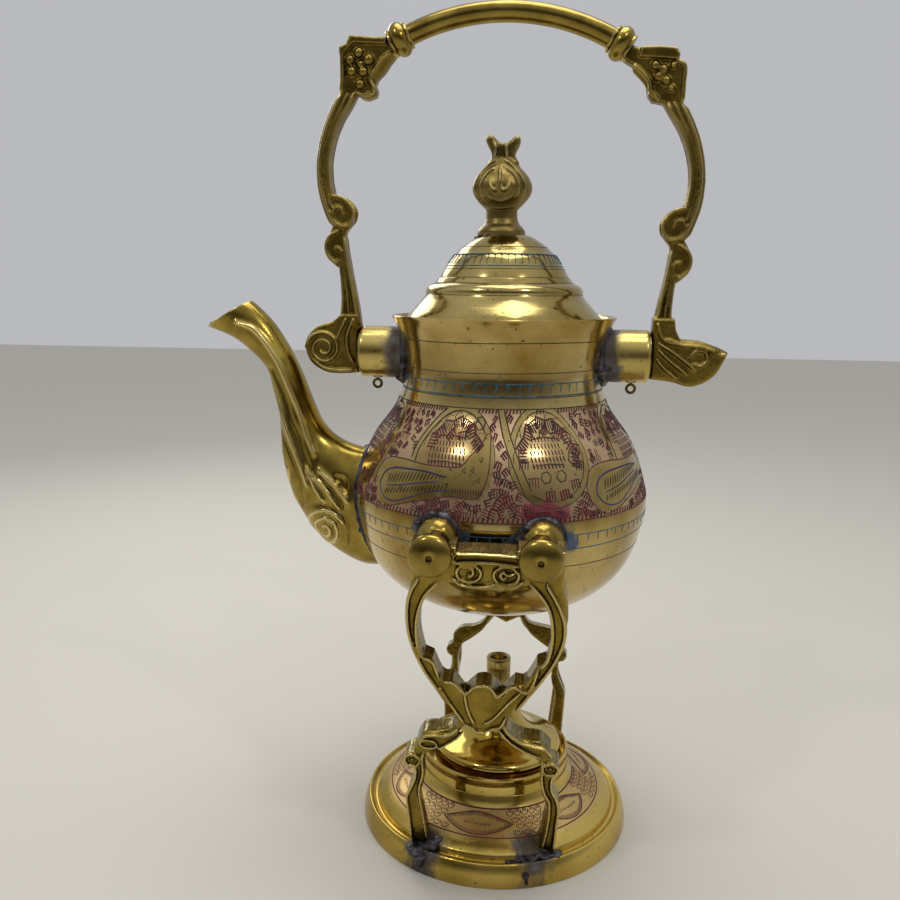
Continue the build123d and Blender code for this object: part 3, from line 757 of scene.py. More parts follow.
def comb(a, z, tilt, teeth, length, gap, spine=True):
    # a short line with teeth on one side, as a graver rocks it
    per = cutsLook["mmPerDegree"]
    t = math.radians(tilt)
    along, down = (math.cos(t) / per, math.sin(t)), (math.sin(t) / per, -math.cos(t))
    strokes = []
    half = (teeth - 1) / 2
    for k in range(teeth):
        s = (k - half) * gap
        size = length * (0.82 + 0.3 * random.random())
        top = (a + along[0] * s, z + along[1] * s)
        strokes.append([top, (top[0] + down[0] * size, top[1] + down[1] * size)])
    if spine:
        reach = half * gap + 0.4
        strokes.append([(a - along[0] * reach, z - along[1] * reach), (a, z + 0.12),
                        (a + along[0] * reach, z + along[1] * reach)])
    return strokes


def birdCuts():
    red, dark = [birdLoop + birdLoop[:1]], []
    upper = [(-46.5, 118.4), (-49, 121), (-47.4, 124.6), (-42, 126.4), (-32, 126.9), (-24, 126.8),
             (-17, 126)]
    lower = [(-46.5, 118.4), (-43, 117.3), (-38, 117.3), (-31, 119.3), (-23, 121.6), (-15, 122.6)]
    middle = [(-44.5, 121), (-38, 121.8), (-30, 123.2), (-20, 124.6)]
    blue = [smoothLine(line, 1.4) for line in (upper, lower, middle)]
    for k in range(18):
        a = -44.5 + k * 1.62
        z = 121 + (a + 44.5) * 0.147
        if a < -17:
            dark.append([(a + 1.1, min(z + 3.6, 126.4)), (a, z + 0.9)])
        dark.append([(a + 0.8, z - 0.6), (a - 0.1, z - 2.3)])
    for k in range(12):
        a = -14 + k * 0.95
        red.append([(a, 123.2), (a + 0.1, 121.9)])
    for a, z in ((-11.4, 128), (-8.2, 128.2), (-5.8, 125.6)):
        dark.append([(a, z), (a + 1.3, z + 1.0), (a + 1.2, z - 0.4), (a, z)])
    dark.append([(-5, 131.6), (-4.3, 130.4), (-3.6, 131.6)])
    return red, blue, dark


def hoopCuts():
    red, dark, rows = [], [], 5
    for index, (centre, height, radius) in enumerate(hoops):
        for r in (radius, radius - 1.8):
            run = []
            for k in range(91):
                t = 2 * math.pi * k / 90
                a, z = centre + r * math.cos(t) / cutsLook["mmPerDegree"], height + r * math.sin(t)
                hidden = z > cutsLook["band"][1] or inside(bird, a, z) or inside(ribbon, a, z)
                if hidden or (index == 0 and z < 128.6):
                    if len(run) > 2:
                        dark.append(run)
                    run = []
                else:
                    run.append((a, z))
            if len(run) > 2:
                dark.append(run)
        basket = (-27, -11) if index == 0 else (15, 29.5)
        for row in range(rows):
            z = 129.6 + row * 1.7
            shrink = abs(row - 1.6) * 0.5
            a = basket[0] + shrink
            while a < basket[1] - shrink:
                red.append([(a, z + 0.72), (a + 0.4, z - 0.72)])
                a += 1.5
            if row in (0, rows - 1):
                dark.append([(basket[0] + shrink, z), ((basket[0] + basket[1]) / 2, z + 0.5),
                             (basket[1] - shrink, z)])
        spots = range(-10, 200, 21) if index else range(5, 180, 22)
        for k, t in enumerate(spots):
            t = math.radians(t)
            a = centre + 10.2 * math.cos(t) / cutsLook["mmPerDegree"]
            z = height + (0.6 if index == 0 else 0) + 9.8 * math.sin(t)
            if z > 142.6 or inside(bird, a, z) or z < 128.4 and index == 0:
                continue
            red += comb(a, z, math.degrees(t) - 90 + 25 * math.sin(k * 2.1), 5, 2.9, 0.82)
            dark.append([(a - 1.9, z - 1.9), (a - 2.2, z + 0.4), (a - 0.6, z + 2.0), (a + 1.4, z + 1.5)])
            if k % 2:
                inner = (centre + 6.4 * math.cos(t) / cutsLook["mmPerDegree"], height + 7.2 * math.sin(t))
                if inner[1] > 137.5 and not inside(bird, *inner):
                    red += comb(*inner, math.degrees(t) - 60, 4, 2.2, 0.8)
    for a, z in ((21.5, 122.8), (27, 122.9), (32, 125.4), (15.6, 126.4), (12.2, 130.8), (35.6, 130.2),
                 (36, 134.6)):
        red += comb(a, z, 12 * math.sin(a), 4, 2.3, 0.85)
    for a, z, size in ((-6.6, 140.4, 1.9), (-10.4, 138.2, 1.9), (18.4, 138.4, 2.0), (26.4, 139.6, 2.1),
                       (33, 136.6, 1.9), (33, 131.2, 1.8), (20.4, 126.6, 1.6), (26.6, 126.8, 1.6)):
        cell = [(a + size * math.cos(math.radians(60 * k + 12)) / cutsLook["mmPerDegree"],
                 z + size * math.sin(math.radians(60 * k + 12))) for k in range(7)]
        dark.append(cell)
    dark += [ribbon[:4], ribbon[:3:-1]]
    return red, dark


def groundCuts():
    # hatched cells over the ground that the figures leave, each a comb at its own slant
    red = []
    low, high = cutsLook["band"]
    rows = 12
    for row in range(rows):
        z = low + 2.0 + row * (high - low - 2.4) / rows
        step = 3.0 if z < 131 else 3.7
        for k in range(int(90 / step)):
            a = -57 + k * step + (row % 2) * step / 2 + random.uniform(-0.5, 0.5)
            zz = z + random.uniform(-0.5, 0.5)
            spots = [groundAt(a + da, zz + dz) for da, dz in ((-1.1, 0), (1.1, 0), (0, 0.9), (0, -1.0),
                                                              (0, 0))]
            if min(spots) > 0.9:
                tilt = random.choice((-35, -20, 0, 15, 40, 70, 110))
                teeth = random.choice((3, 4, 4)) - (z > 131)
                red += comb(a, zz + 0.7, tilt, teeth, 1.8, 0.8, random.random() < 0.7)
    a = -57
    while a < 33:
        if groundAt(a, high - 0.7) > 0.2:
            red.append([(a, high), (a - 0.5, high - 1.2)])
        if groundAt(a, low + 0.8) > 0.2:
            red.append([(a, low), (a + 0.4, low + 1.5)])
        a += 1.7
    return red


def ringAt(z, wave=0.0):
    return [(a, z + wave * math.sin(math.radians(a * 3))) for a in range(0, 361, 3)]


def bandCuts():
    blue = [ringAt(z) for z in (151.3, 147.8, 110.5, 106.3)]
    dark = [ringAt(154.3, 0.1), ringAt(163.0, 0.15), ringAt(100.7, 0.15), ringAt(147.4)]
    for k in range(60):
        a = k * 6 + random.uniform(-0.5, 0.5)
        blue.append([(a - 0.9, 150.9), (a + 0.5, 151.0), (a + 0.2, 149.9), (a - 0.8, 148.7)])
    for k in range(80):
        a = k * 4.5
        blue.append([(a, 110.5), (a + 0.1, 108.2)])
    return blue, dark


def engrave(name, body, material, strokes, spotOf, width, levelled=None):
    # the filled cuts: thin four-sided rods sunk in the sheet and pressed nearly level with it
    runs = []
    for stroke in strokes:
        points = []
        for (a0, h0), (a1, h1) in zip(stroke, stroke[1:]):
            size = math.hypot((a1 - a0) * 0.8, h1 - h0)
            count = max(1 if len(stroke) > 2 else 2, round(size / 1.2))
            points += [(a0 + (a1 - a0) * k / count, h0 + (h1 - h0) * k / count) for k in range(count)]
        points.append(stroke[-1])
        runs.append(([spotOf(a, h) for a, h in points], width))
    obj = rods(name, runs, 0, 0.4, 0.78)
    if levelled:
        for v in obj.data.vertices:
            v.co = levelled(v.co)
    toMetres(obj)
    return place(obj, body, material)


def potSpot(a, z):
    return aroundFront(onLine(outerLine, z) - cutsLook["sunk"], a, z)


def potLevel(spot):
    top = onLine(outerLine, spot.z) + cutsLook["proud"]
    share = min(1.0, top / math.hypot(spot.x, spot.y))
    return (spot.x * share, spot.y * share, spot.z)


random.seed(cutsLook["seed"])
outerLine = [p for p in outerLine if p[1] > pot["z"] + 1]
redStrokes, blueStrokes, darkStrokes = [], [], []
for turnBy in range(0, 360, cutsLook["repeat"]):
    birdRed, birdBlue, birdDark = birdCuts()
    hoopRed, hoopDark = hoopCuts()
    for group, strokes in ((redStrokes, birdRed + hoopRed + groundCuts()), (blueStrokes, birdBlue),
                           (darkStrokes, birdDark + hoopDark)):
        group += [[(a + turnBy, z) for a, z in stroke] for stroke in strokes]
bandBlue, bandDark = bandCuts()
redStrokes.append(ringAt(cutsLook["band"][0]))
darkStrokes.append(ringAt(cutsLook["band"][1]))
potCuts = (("Red", redLacquer, redStrokes), ("Blue", blueLacquer, bandBlue),
           ("Violet", violetLacquer, blueStrokes), ("Dark", darkLacquer, darkStrokes + bandDark))
for word, material, strokes in potCuts:
    width = cutsLook[word.lower()]
    engrave("potCuts" + word, "kettle", material, strokes, potSpot, width, potLevel)
print("pot engraved,", len(redStrokes) + len(blueStrokes) + len(darkStrokes), "strokes")

# the base, with the dome that the lamp's ring stands on
base = {
    "outline": [(0, 17.2), (23.8, 17.2), (24.4, 15.6), (25.8, 13.8), (28.8, 12.0), (34, 9.8), (38.8, 6.8),
                (38.8, 4.8), (42.1, 4.8), (43.8, 0.0), (45.0, 0.0), (45.0, 1.2), (44.7, 3.2), (43.95, 5.4),
                (43.3, 6.9), (42.9, 7.1), (42.5, 6.9), (41.6, 6.0), (40.5, 6.0), (40.2, 7.3), (39.9, 8.0),
                (37.6, 9.4), (35.0, 10.85), (32.5, 11.95), (30.0, 13.0), (28.3, 13.9), (27.0, 14.8),
                (26.1, 15.8), (25.5, 16.7), (25.1, 18.4), (0, 18.4)],
    "block": [(0, 0), (45.0, 0.0), (45.0, 1.2), (43.3, 7.0), (42.5, 7.0), (41.5, 6.0), (40.4, 6.0),
              (40.0, 8.0), (35.0, 10.85), (30.0, 13.0), (27.0, 14.8), (25.6, 16.6), (25.0, 18.4), (0, 18.4)],
    "cut": (26.6, 35.2), "sunk": 0.08, "proud": 0.08, "redWidth": 0.3, "darkWidth": 0.26,
    "feet": ((-19, -37), (19, 37), (14, -37), (-14, 37)), "stainReach": 10.5,
}
domeLine = [(9.4, 37.6), (10.85, 35.0), (11.95, 32.5), (13.0, 30.0), (13.9, 28.3), (14.8, 27.0),
            (15.8, 26.1)]


def domeHeight(radius):
    for (z0, r0), (z1, r1) in zip(domeLine, domeLine[1:]):
        if r1 <= radius <= r0:
            return z0 + (z1 - z0) * (r0 - radius) / (r0 - r1)
    return domeLine[0][0]


def domeSpot(a, r):
    return aroundFront(r, a, domeHeight(r) - base["sunk"])


def domeLevel(spot):
    return (spot.x, spot.y, min(spot.z, domeHeight(math.hypot(spot.x, spot.y)) + base["proud"]))


def baseGround(p):
    low, high = base["cut"]
    return 0.75 if low < math.hypot(p.x, p.y) < high and p.z > 9 else 0.0


def baseStain(p):
    # dark round the four soldered feet
    return max(clamped(1.2 - math.hypot(p.x - x, p.y - y) / base["stainReach"]) for x, y in base["feet"])


basePiece = lathe("baseDish", base["outline"], 240, bevel=0.25)
paint(basePiece, "ground", baseGround)
paint(basePiece, "stain", baseStain)
place(basePiece, "stand", baseBrass, ["base_dish"])


def baseCuts():
    # leaves laid end to end round the dome, toothed inside their edges, with small scales between
    red, dark = [], []
    for k in range(6):
        middle = k * 60 - 6
        wide = 21 if k % 2 == 0 else 17
        edgeOut = [(middle + wide * t / 10, 31 + 3.6 * math.cos(t / 10 * math.pi / 2)) for t in range(-10, 11)]
        edgeIn = [(middle + wide * t / 10, 31 - 3.4 * math.cos(t / 10 * math.pi / 2)) for t in range(-10, 11)]
        red += [edgeOut, edgeIn]
        for t in range(-17, 18):
            a = middle + wide * t / 19
            reach = math.cos(t / 19 * math.pi / 2)
            red.append([(a, 31 + 3.6 * reach), (a + 0.5, 31 + 3.6 * reach - 1.0 - 0.3 * random.random())])
            red.append([(a, 31 - 3.4 * reach), (a + 0.5, 31 - 3.4 * reach + 1.0 + 0.3 * random.random())])
        for t in range(-3, 4):
            a = middle + t * 2.3
            dark.append([(a - 1, 31 + 0.5 * math.sin(t)), (a, 31.5), (a + 1, 30.9)])
        for column in range(-2, 3):
            for row, r in enumerate((27.9, 29.9, 31.9, 33.9)):
                a = middle + 30 + column * 5.0 + (row % 2) * 2.5
                away = min(abs(a - middle) / wide, abs(a - middle - 60) / (38 - wide))
                if away < 1 and abs(r - 31) < 3.5 * math.cos(away * math.pi / 2) + 1.0:
                    continue
                red.append([(a + 2.3 * math.cos(t / 6 * math.pi), r + 1.5 * math.sin(t / 6 * math.pi) - 0.7)
                            for t in range(7)])
                red += [[(a + d, r - 0.1), (a + d + 0.3, r - 1.0)] for d in (-1.0, 0, 1.0)]
    red += [[(a, r) for a in range(0, 361, 4)] for r in (26.7, 35.3)]
    return red, dark


baseRed, baseDark = baseCuts()
engrave("baseCutsRed", "stand", redLacquer, baseRed, domeSpot, base["redWidth"], domeLevel)
engrave("baseCutsDark", "stand", darkLacquer, baseDark, domeSpot, base["darkWidth"], domeLevel)
collarPiece = lathe("burnerRing", [(23.9, 18.4), (25.0, 18.4), (25.0, 21.2), (24.85, 21.5), (25.0, 21.8),
                                   (25.05, 23.6), (24.7, 24.0), (24.2, 24.0), (23.9, 23.7),
                                   (23.9, 18.4)], 200)
place(collarPiece, "stand", lampBrass, ["burner_collar"])
print("base and ring spun")


# the spirit lamp, standing loose in the ring
lampLook = {"x": 0.8, "z": 18.4, "seam": 24.6}


def spunAt(name, outline, x, z, steps=160):
    obj = lathe(name, [(r, h + z) for r, h in outline], steps, units=True)
    turn(obj, to=(x, 0, 0))
    return finished(obj)


bowlPiece = spunAt("lampBowl", [(0, 0), (20.2, 0), (20.8, 0.25), (21.2, 0.9), (21.2, 4.2), (21.35, 4.9),
                                (21.6, 5.6), (21.6, 6.15), (20.2, 6.15), (20.2, 1.0), (0, 1.0)],
                   lampLook["x"], lampLook["z"])
place(bowlPiece, "lamp_bowl", lampBrass, ["burner_bowl"])
capLine = smoothLine([(21.6, 0.02), (21.55, 0.7), (21.1, 1.4), (20.2, 2.0), (19.2, 2.35), (17, 2.9),
                      (15, 3.6), (12.6, 4.85), (10.5, 6.6), (8.5, 8.9), (7, 11.4), (5.8, 14),
                      (5.05, 16.3)], 0.6)
capPiece = spunAt("lampCap", capLine + [(4.9, 16.5), (4.0, 16.5), (4.0, 12.6), (6.0, 11.2), (9.8, 5.8),
                                        (14.6, 2.6), (18.95, 1.2), (18.95, -2.6), (19.95, -2.6),
                                        (19.95, 0.02), (21.6, 0.02)],
                  lampLook["x"], lampLook["seam"])
place(capPiece, "lamp_cap", lampBrass, ["burner_cap"])
tubePiece = spunAt("wickTube", [(2.6, 10.4), (4.0, 10.4), (4.0, 26.6), (3.85, 26.9), (4.05, 27.2),
                                (4.05, 30.2), (3.85, 30.55), (3.3, 30.6), (2.8, 30.4), (2.6, 30.0),
                                (2.6, 10.4)],
                   lampLook["x"], lampLook["seam"], 64)
place(tubePiece, "lamp_cap", tubeCopper, ["wick_tube"])
print("lamp spun")

# the lid
lid = {
    "z": 165.304,
    "outline": [(31.85, 0), (31.9, 0.5), (31.5, 1.5), (30.4, 3.95), (29.0, 5.6), (27.4, 7.35), (25.8, 9.1),
                (24.75, 10.5), (24.5, 11.1), (24.65, 11.6), (24.5, 12.4), (23.8, 13.4), (22.9, 14.0),
                (21.9, 14.3), (21.5, 14.5), (21.1, 15.2), (20.6, 15.9), (20.1, 16.1), (19.9, 16.5),
                (19.1, 18.1), (18.75, 18.6), (18.2, 19.5), (17.1, 21.3), (15.9, 22.95), (15.6, 23.1),
                (14, 24.6), (11.8, 26.4), (9.8, 27.7), (8, 28.7), (7.0, 29.0), (0, 29.05)],
    "under": [(0, 28.05), (7.6, 27.8), (11.2, 25.5), (14.8, 22.5), (17.3, 18.9), (19.0, 15.6), (20.0, 14.2),
              (23.4, 10.5), (26.7, 6.7), (29.5, 3.6), (30.85, 0)],
    "proud": 0.02, "blueWidth": 0.16, "darkWidth": 0.1, "leaves": 52, "leafStep": 6.92,
}
lidPiece = lathe("lidDome", [(r, z + lid["z"]) for r, z in lid["under"] + lid["outline"]], 240, units=True)
finished(lidPiece, 30)
place(lidPiece, "lid", lidBrass, ["lid_dome"])
lidLine = sorted(((r, z + lid["z"]) for r, z in lid["outline"][1:-1]), key=lambda p: p[1])


def lidSpot(a, z):
    return aroundFront(onLine(lidLine, lid["z"] + z) + lid["proud"], a, lid["z"] + z)


def lidRings(heights):
    return [[(a, z) for a in range(0, 361, 5)] for z in heights]


lidLeaf = [(-1.0, 22.6), (0.7, 22.7), (0.2, 21.6), (-0.5, 20.2)]
lidBlue = [[(k * lid["leafStep"] + a, z) for a, z in lidLeaf] for k in range(lid["leaves"])]
lidBlue += lidRings((22.95, 19.5))
lidDark = lidRings((18.65, 16.1, 14.4, 10.9, 25.2))
engrave("lidCutsBlue", "lid", blueLacquer, lidBlue, lidSpot, lid["blueWidth"])
engrave("lidCutsDark", "lid", darkLacquer, lidDark, lidSpot, lid["darkWidth"])
print("lid spun")

# the finial, cast with two horns and a leaf on each face
finial = {"x": -1.2, "z": 194.0, "flat": 0.86, "voxel": 0.26}
bulbLine = smoothLine([(4.8, 7.8), (7.0, 10.0), (8.7, 12.2), (9.2, 14.8), (7.9, 17.8), (5.4, 20.6),
                       (3.9, 23.0)], 0.8)


def finialSpot(x, z, lift):
    # a point on the bulb's front face; x and z as on the whole object
    radius = onLine(bulbLine, z - finial["z"])
    across = min(abs(x - finial["x"]) / radius, 0.97)
    return (x, z, radius * math.sqrt(1 - across * across) * finial["flat"] + lift)


def finialPiece():
    x, z = finial["x"], finial["z"]
    stem = lathe("stem", [(0, -1.0), (7.4, -1.0), (7.5, 0.6), (7.3, 1.6), (6.6, 2.6), (5.5, 3.6), (4.9, 5.2),
                          (4.8, 7.0)] + bulbLine + [(0, 23.2)], 72, units=True)
    stem.scale = (1, finial["flat"], 1)
    settle(stem)
    hornLoop = smoothLine([(-3.9, 21), (-4.6, 24.5), (-6.0, 27.3), (-6.4, 28.6), (-5.6, 29.7), (-4.2, 29.6),
                           (-2.8, 28.2), (-1.1, 27.5), (0.9, 28.1), (2.2, 29.3), (3.6, 29.4), (4.2, 28.4),
                           (3.7, 26.6), (2.6, 24), (3.6, 21)], 0.7, True)
    horns = slab("horns", [hornLoop], 5.0, -2.5, 1.1)
    turn(horns, x=90)
    turn(stem, to=(x, 0, z))
    turn(horns, to=(0, 0, z))
    lines = [
        ([(-3.2, 216.5), (-6.4, 213.6), (-8.8, 210), (-9.0, 207), (-7.6, 204.2), (-5, 202.7), (-1.8, 202.3),
          (1.6, 202.7), (4.2, 204.2), (5.7, 207), (5.4, 210), (2.8, 213.6), (-0.6, 216.5)], 0.62),
        ([(-2.8, 214.2), (-5.6, 212), (-7.2, 209.2), (-7.2, 206.6), (-6, 205)], 0.55),
        ([(-0.6, 214.2), (2.4, 212), (4.0, 209.2), (4.0, 206.6), (2.6, 205)], 0.55),
        ([(-5.4, 206.6), (-4.4, 205.4), (-2.2, 204.4), (-0.4, 204.4), (1.6, 205.4), (2.4, 206.9)], 0.6),
        ([(-4.8, 209.5), (-4.2, 207.8), (-2.8, 207.1), (-2, 208.6)], 0.5),
        ([(1.6, 209.5), (1.0, 207.8), (-0.6, 207.1), (-1.4, 208.6)], 0.5),
        ([(-1.7, 214), (-1.6, 211), (-1.7, 208)], 0.45),
        ([(-3.6, 217), (-3.2, 220), (-4.2, 222)], 0.5), ([(0.2, 217), (0, 220), (0.8, 222)], 0.5),
    ]
    runs = []
    for points, radius in lines:
        for face in (1, -1):
            spots = []
            for px, pz in smoothLine(points, 0.7):
                sx, sz, depth = finialSpot(px, pz, 0.12)
                spots.append((sx, -face * max(depth, 2.3 if pz > 216 else 0), sz))
            runs.append((spots, radius))
    whole = fuse("finialCasting", [stem, horns, rods("leaves", runs)], finial["voxel"], 1, 0.45)
    toMetres(whole)
    return place(whole, "lid", finialBrass, ["finial"])


finialPiece()
print("finial cast")

# the stand's two side frames: x across, s up along the leaning face
stand = {"lean": 12.0, "face": 35.0, "thick": 7.5, "relief": 1.25, "voxel": 0.33, "hookX": 14.5,
         "hookZ": 109.504, "hookS": 111.95, "slot": 3.95, "ridgeFoot": -1.3,
         "kneeCurls": ((-22.2, 40.2), (18.9, 40.2))}


def swayed(side, points):
    out = []
    for x, s in points:
        out.append((side * x - 1.3 * clamped((92 - s) / 32), s))
    return out


def standOutline(side):
    arm = smoothLine([(20.9, 107.0), (20.7, 102.0), (22.1, 95.7), (21.9, 88.5), (19.6, 80.0), (15.9, 71.0),
                      (10.7, 63.0), (8.0, 58.4), (7.1, 54.4)], 1.5)
    bend = {-1: [(7.1, 54.4), (9.0, 52.2), (13.4, 51.1), (17.2, 50.3), (19.3, 47.2)],
            1: [(7.1, 54.4), (9.0, 51.6), (12.8, 49.8), (17.2, 49.2), (20.2, 46.4)]}[side]
    knee = smoothLine(bend, 1.2)
    leg = smoothLine([bend[-1], (20.3, 42.6), (20.4, 37.4), (20.3, 32.6), (22.0, 28.6), (23.1, 25.0),
                      (22.6, 16), (22.2, 9.0)], 1.5)
    foot = [(22.1, 3.0), (17.3, 3.0)]
    innerLeg = smoothLine([(17.4, 9.0), (18.6, 18), (19.5, 25.4), (18.6, 28.2), (17.8, 31), (17.9, 38.0),
                           (16.6, 42.6)], 1.5)
    under = smoothLine([(16.6, 42.6), (12.9, 45.0), (9.0, 48.2), (6.4, 52.0), (5.0, 54.0)], 1.2)
    shoulder = [(8.2, 111.5), (9.2, 110.0), (20.4, 110.0)]
    return swayed(side, shoulder + arm + knee[1:] + leg[1:] + foot + innerLeg + under[1:])


def standWindow():
    half = {}
    for side in (1, -1):
        bow = smoothLine([(12.4, 101.9), (15.0, 99.6), (17.2, 96.0), (18.6, 91.0), (18.7, 84.5),
                          (17.3, 77.3)], 1.5)
        low = [(14.8, 76.2), (13.4, 72.6), (12.3, 70.2), (11.1, 69.1), (9.0, 69.5), (7.3, 67.4), (5.4, 64.6),
               (3.9, 66.4), (2.2, 68.4), (0, 69.0)]
        half[side] = swayed(side, bow + low)
    top = [(-6, 100.9), (0, 100.6), (6, 100.9)]
    return half[1] + half[-1][-2::-1] + top


# lines of the relief: points (x, s) and the half-width of the ridge
standRidges = [
    ([(-18.4, 103), (-20.6, 99), (-21.8, 94.5), (-22.0, 88), (-20.9, 81.5), (-17.9, 73.5), (-13.6, 66),
      (-11, 61.5)], 0.62),
    ([(-13.4, 102), (-17, 97.6), (-19, 92), (-19.7, 86), (-19.2, 80), (-18.2, 77.4)], 0.6),
    ([(16.0, 103), (19.2, 97), (21.2, 91), (21.2, 85), (18.9, 78), (15.4, 71.5), (11.6, 65.5),
      (8.4, 60.5)], 0.62),
    ([(11.6, 103), (15.5, 98.2), (17.6, 93), (18.2, 86), (17.2, 79), (15.2, 75.6)], 0.6),
    ([(-18.3, 77.4), (-15.4, 76.1), (-14.3, 73), (-13.4, 70.4)], 0.55),
    ([(-12.6, 69.4), (-9.6, 69.1), (-7.4, 67.2), (-6.3, 65.6), (-5.6, 61), (-4.3, 57), (-3.2, 55)], 0.55),
    ([(-13.0, 67.2), (-11, 63), (-8.6, 58.9), (-6.2, 54.8)], 0.55),
    ([(-5.6, 65.4), (-4.2, 67.6), (-2, 68.7), (0.4, 68.6), (2, 67.2), (2.8, 65.2), (4, 66), (6.2, 68.2),
      (8, 69), (10, 67.8), (11.6, 67.4), (13.2, 70.5), (14.6, 75.2)], 0.55),
    ([(10, 67.4), (6.6, 63.6), (3.6, 59.4), (1.6, 57), (-1.0, 55.2)], 0.5),
    ([(-6.2, 54.6), (-3.4, 53), (-1.6, 52), (1.5, 53.6), (4.2, 54.8), (5.6, 58)], 0.6),
    ([(-8.2, 52.6), (-11.4, 50.3), (-15, 50.1), (-18.4, 49.4), (-20, 47)], 0.55),
    ([(-6.6, 52.4), (-8.6, 49.6), (-11.5, 47.2), (-14.4, 44.8)], 0.5),
    ([(-19.7, 46.9), (-18.6, 48), (-16.6, 48.2), (-14.8, 47.4), (-14.6, 46.1), (-16.2, 45.3),
      (-18.4, 45.5)], 0.42, True),
    ([(4.6, 55), (7, 51.8), (10.4, 49.2), (14, 48.2), (17.4, 47.3), (19.4, 44.4)], 0.55),
    ([(3.4, 54), (6.4, 50), (10.2, 47), (13.6, 45.2), (16.4, 44.4)], 0.5),
    ([(-19.0, 43.4), (-19.1, 38.5), (-19.2, 34.6), (-20.3, 30), (-20.3, 26), (-19.4, 18), (-18.4, 9)], 0.55),
    ([(-21.0, 37.2), (-21.6, 33), (-23.0, 29.2), (-24.2, 25.6), (-23.8, 19), (-23.2, 9)], 0.55),
    ([(16.5, 42.8), (16.5, 36), (17.4, 31), (19.0, 27), (18.6, 18), (17.2, 9)], 0.55),
    ([(19.4, 37.4), (19.4, 32.6), (21.0, 28.6), (21.6, 24.8), (21.2, 18), (20.6, 9)], 0.55),
    ([(-9.4, 103.8), (-7.2, 101.9), (-4.2, 101.2), (0, 101.6), (2.4, 102.3), (4.8, 101.5), (7.8, 102),
      (10, 103.6)], 0.55),
    ([(-9.4, 108.4), (-4, 108.8), (2, 108.8), (9.4, 108.2)], 0.6),
    ([(-9.6, 110.9), (-4, 111.2), (2, 111.2), (9.6, 110.9)], 0.5),
]
ovals = [((-4.8, 105.4), 3.3, 2.7), ((5.3, 105.1), 3.4, 2.7)]
commas = [[(-6.6, 106.4), (-5.2, 107.2), (-3.8, 106.6), (-3.6, 105.2), (-4.6, 104.4), (-5.2, 105.3)],
          [(7.8, 106), (6, 105.2), (4.4, 106.2), (3.6, 105.2), (4.6, 104), (5.6, 104.7)]]


def frameCasting():
    thick, relief, foot = stand["thick"], stand["relief"], stand["ridgeFoot"]
    right, left = standOutline(1), standOutline(-1)
    rimLoop = [(0, 111.5)] + right + [swayed(1, [(0, 51.6)])[0]] + left[::-1]
    pieces = [slab("frameSlab", [rimLoop, standWindow()], thick - relief, -thick, 0.5)]
    for side in (1, -1):
        ring = spiral(side * stand["hookX"], stand["hookS"], 6.4, 6.4, -188, 0.545, 24)
        pieces.append(slab("hookRing", [ring], thick - 0.35, -thick, 0.3))
    for x, s in stand["kneeCurls"]:
        pieces.append(slab("curl", [spiral(x, s, 2.5, 2.5, 0, 0.96, 20)], thick - relief, -thick, 0.5))
    for piece in pieces:
        turn(piece, x=90 + stand["lean"], to=(0, -stand["face"], 0))
        carve(piece, baseBlock)
        carve(piece, slotCutter)
    runs = []
    for points, radius, *closed in standRidges:
        line = smoothLine(points, 0.9, bool(closed))
        runs += ridge(line, 0.05, foot, radius, closed)
    for (x, s), wide, tall in ovals:
        loop = [(x + wide * math.cos(t / 12 * math.pi), s + tall * math.sin(t / 12 * math.pi))
                for t in range(24)]
        runs += ridge(loop, -0.05, foot, 0.55, (True,))
    for points in commas:
        runs += ridge(smoothLine(points, 0.6), -0.1, foot, 0.55)
    for x, s in stand["kneeCurls"]:
        runs += ridge(spiral(x, s, 2.2, 2.2, 0, 0.96, 20), 0.0, foot, 0.55, (True,))
        runs += ridge([(x - 0.5, s), (x, s + 0.2), (x + 0.5, s)], -0.1, foot, 0.75)
    for side in (1, -1):
        runs += ridge(spiral(side * stand["hookX"], stand["hookS"], 5.6, 5.6, -172, 0.455, 24), 0.0, foot, 0.6)
    ridges = rods("frameRidges", runs)
    turn(ridges, x=90 + stand["lean"], to=(0, -stand["face"], 0))
    return fuse("frontFrame", pieces + [ridges], stand["voxel"], 1, 0.5, (2.5, 0.12))


baseBlock = lathe("baseBlock", base["block"], 160, units=True)
slotLoops = []
for side in (1, -1):
    middle, slot = side * stand["hookX"], stand["slot"]
    floorOfSlot = spiral(middle, stand["hookZ"], slot, slot, 180, 0.5, 24)
    slotLoops.append(floorOfSlot + [(middle + slot, 135), (middle - slot, 135)])
slotCutter = slab("slotCutter", slotLoops, 50, 36)
turn(slotCutter, x=90)
frontFrame = frameCasting()
backFrame = twin(frontFrame, "backFrame")
turn(backFrame, z=180)
for node, piece in (("front_frame", frontFrame), ("back_frame", backFrame)):
    toMetres(piece)
    place(piece, "stand", standBrass, [node])
drop(slotCutter)
print("stand cast")


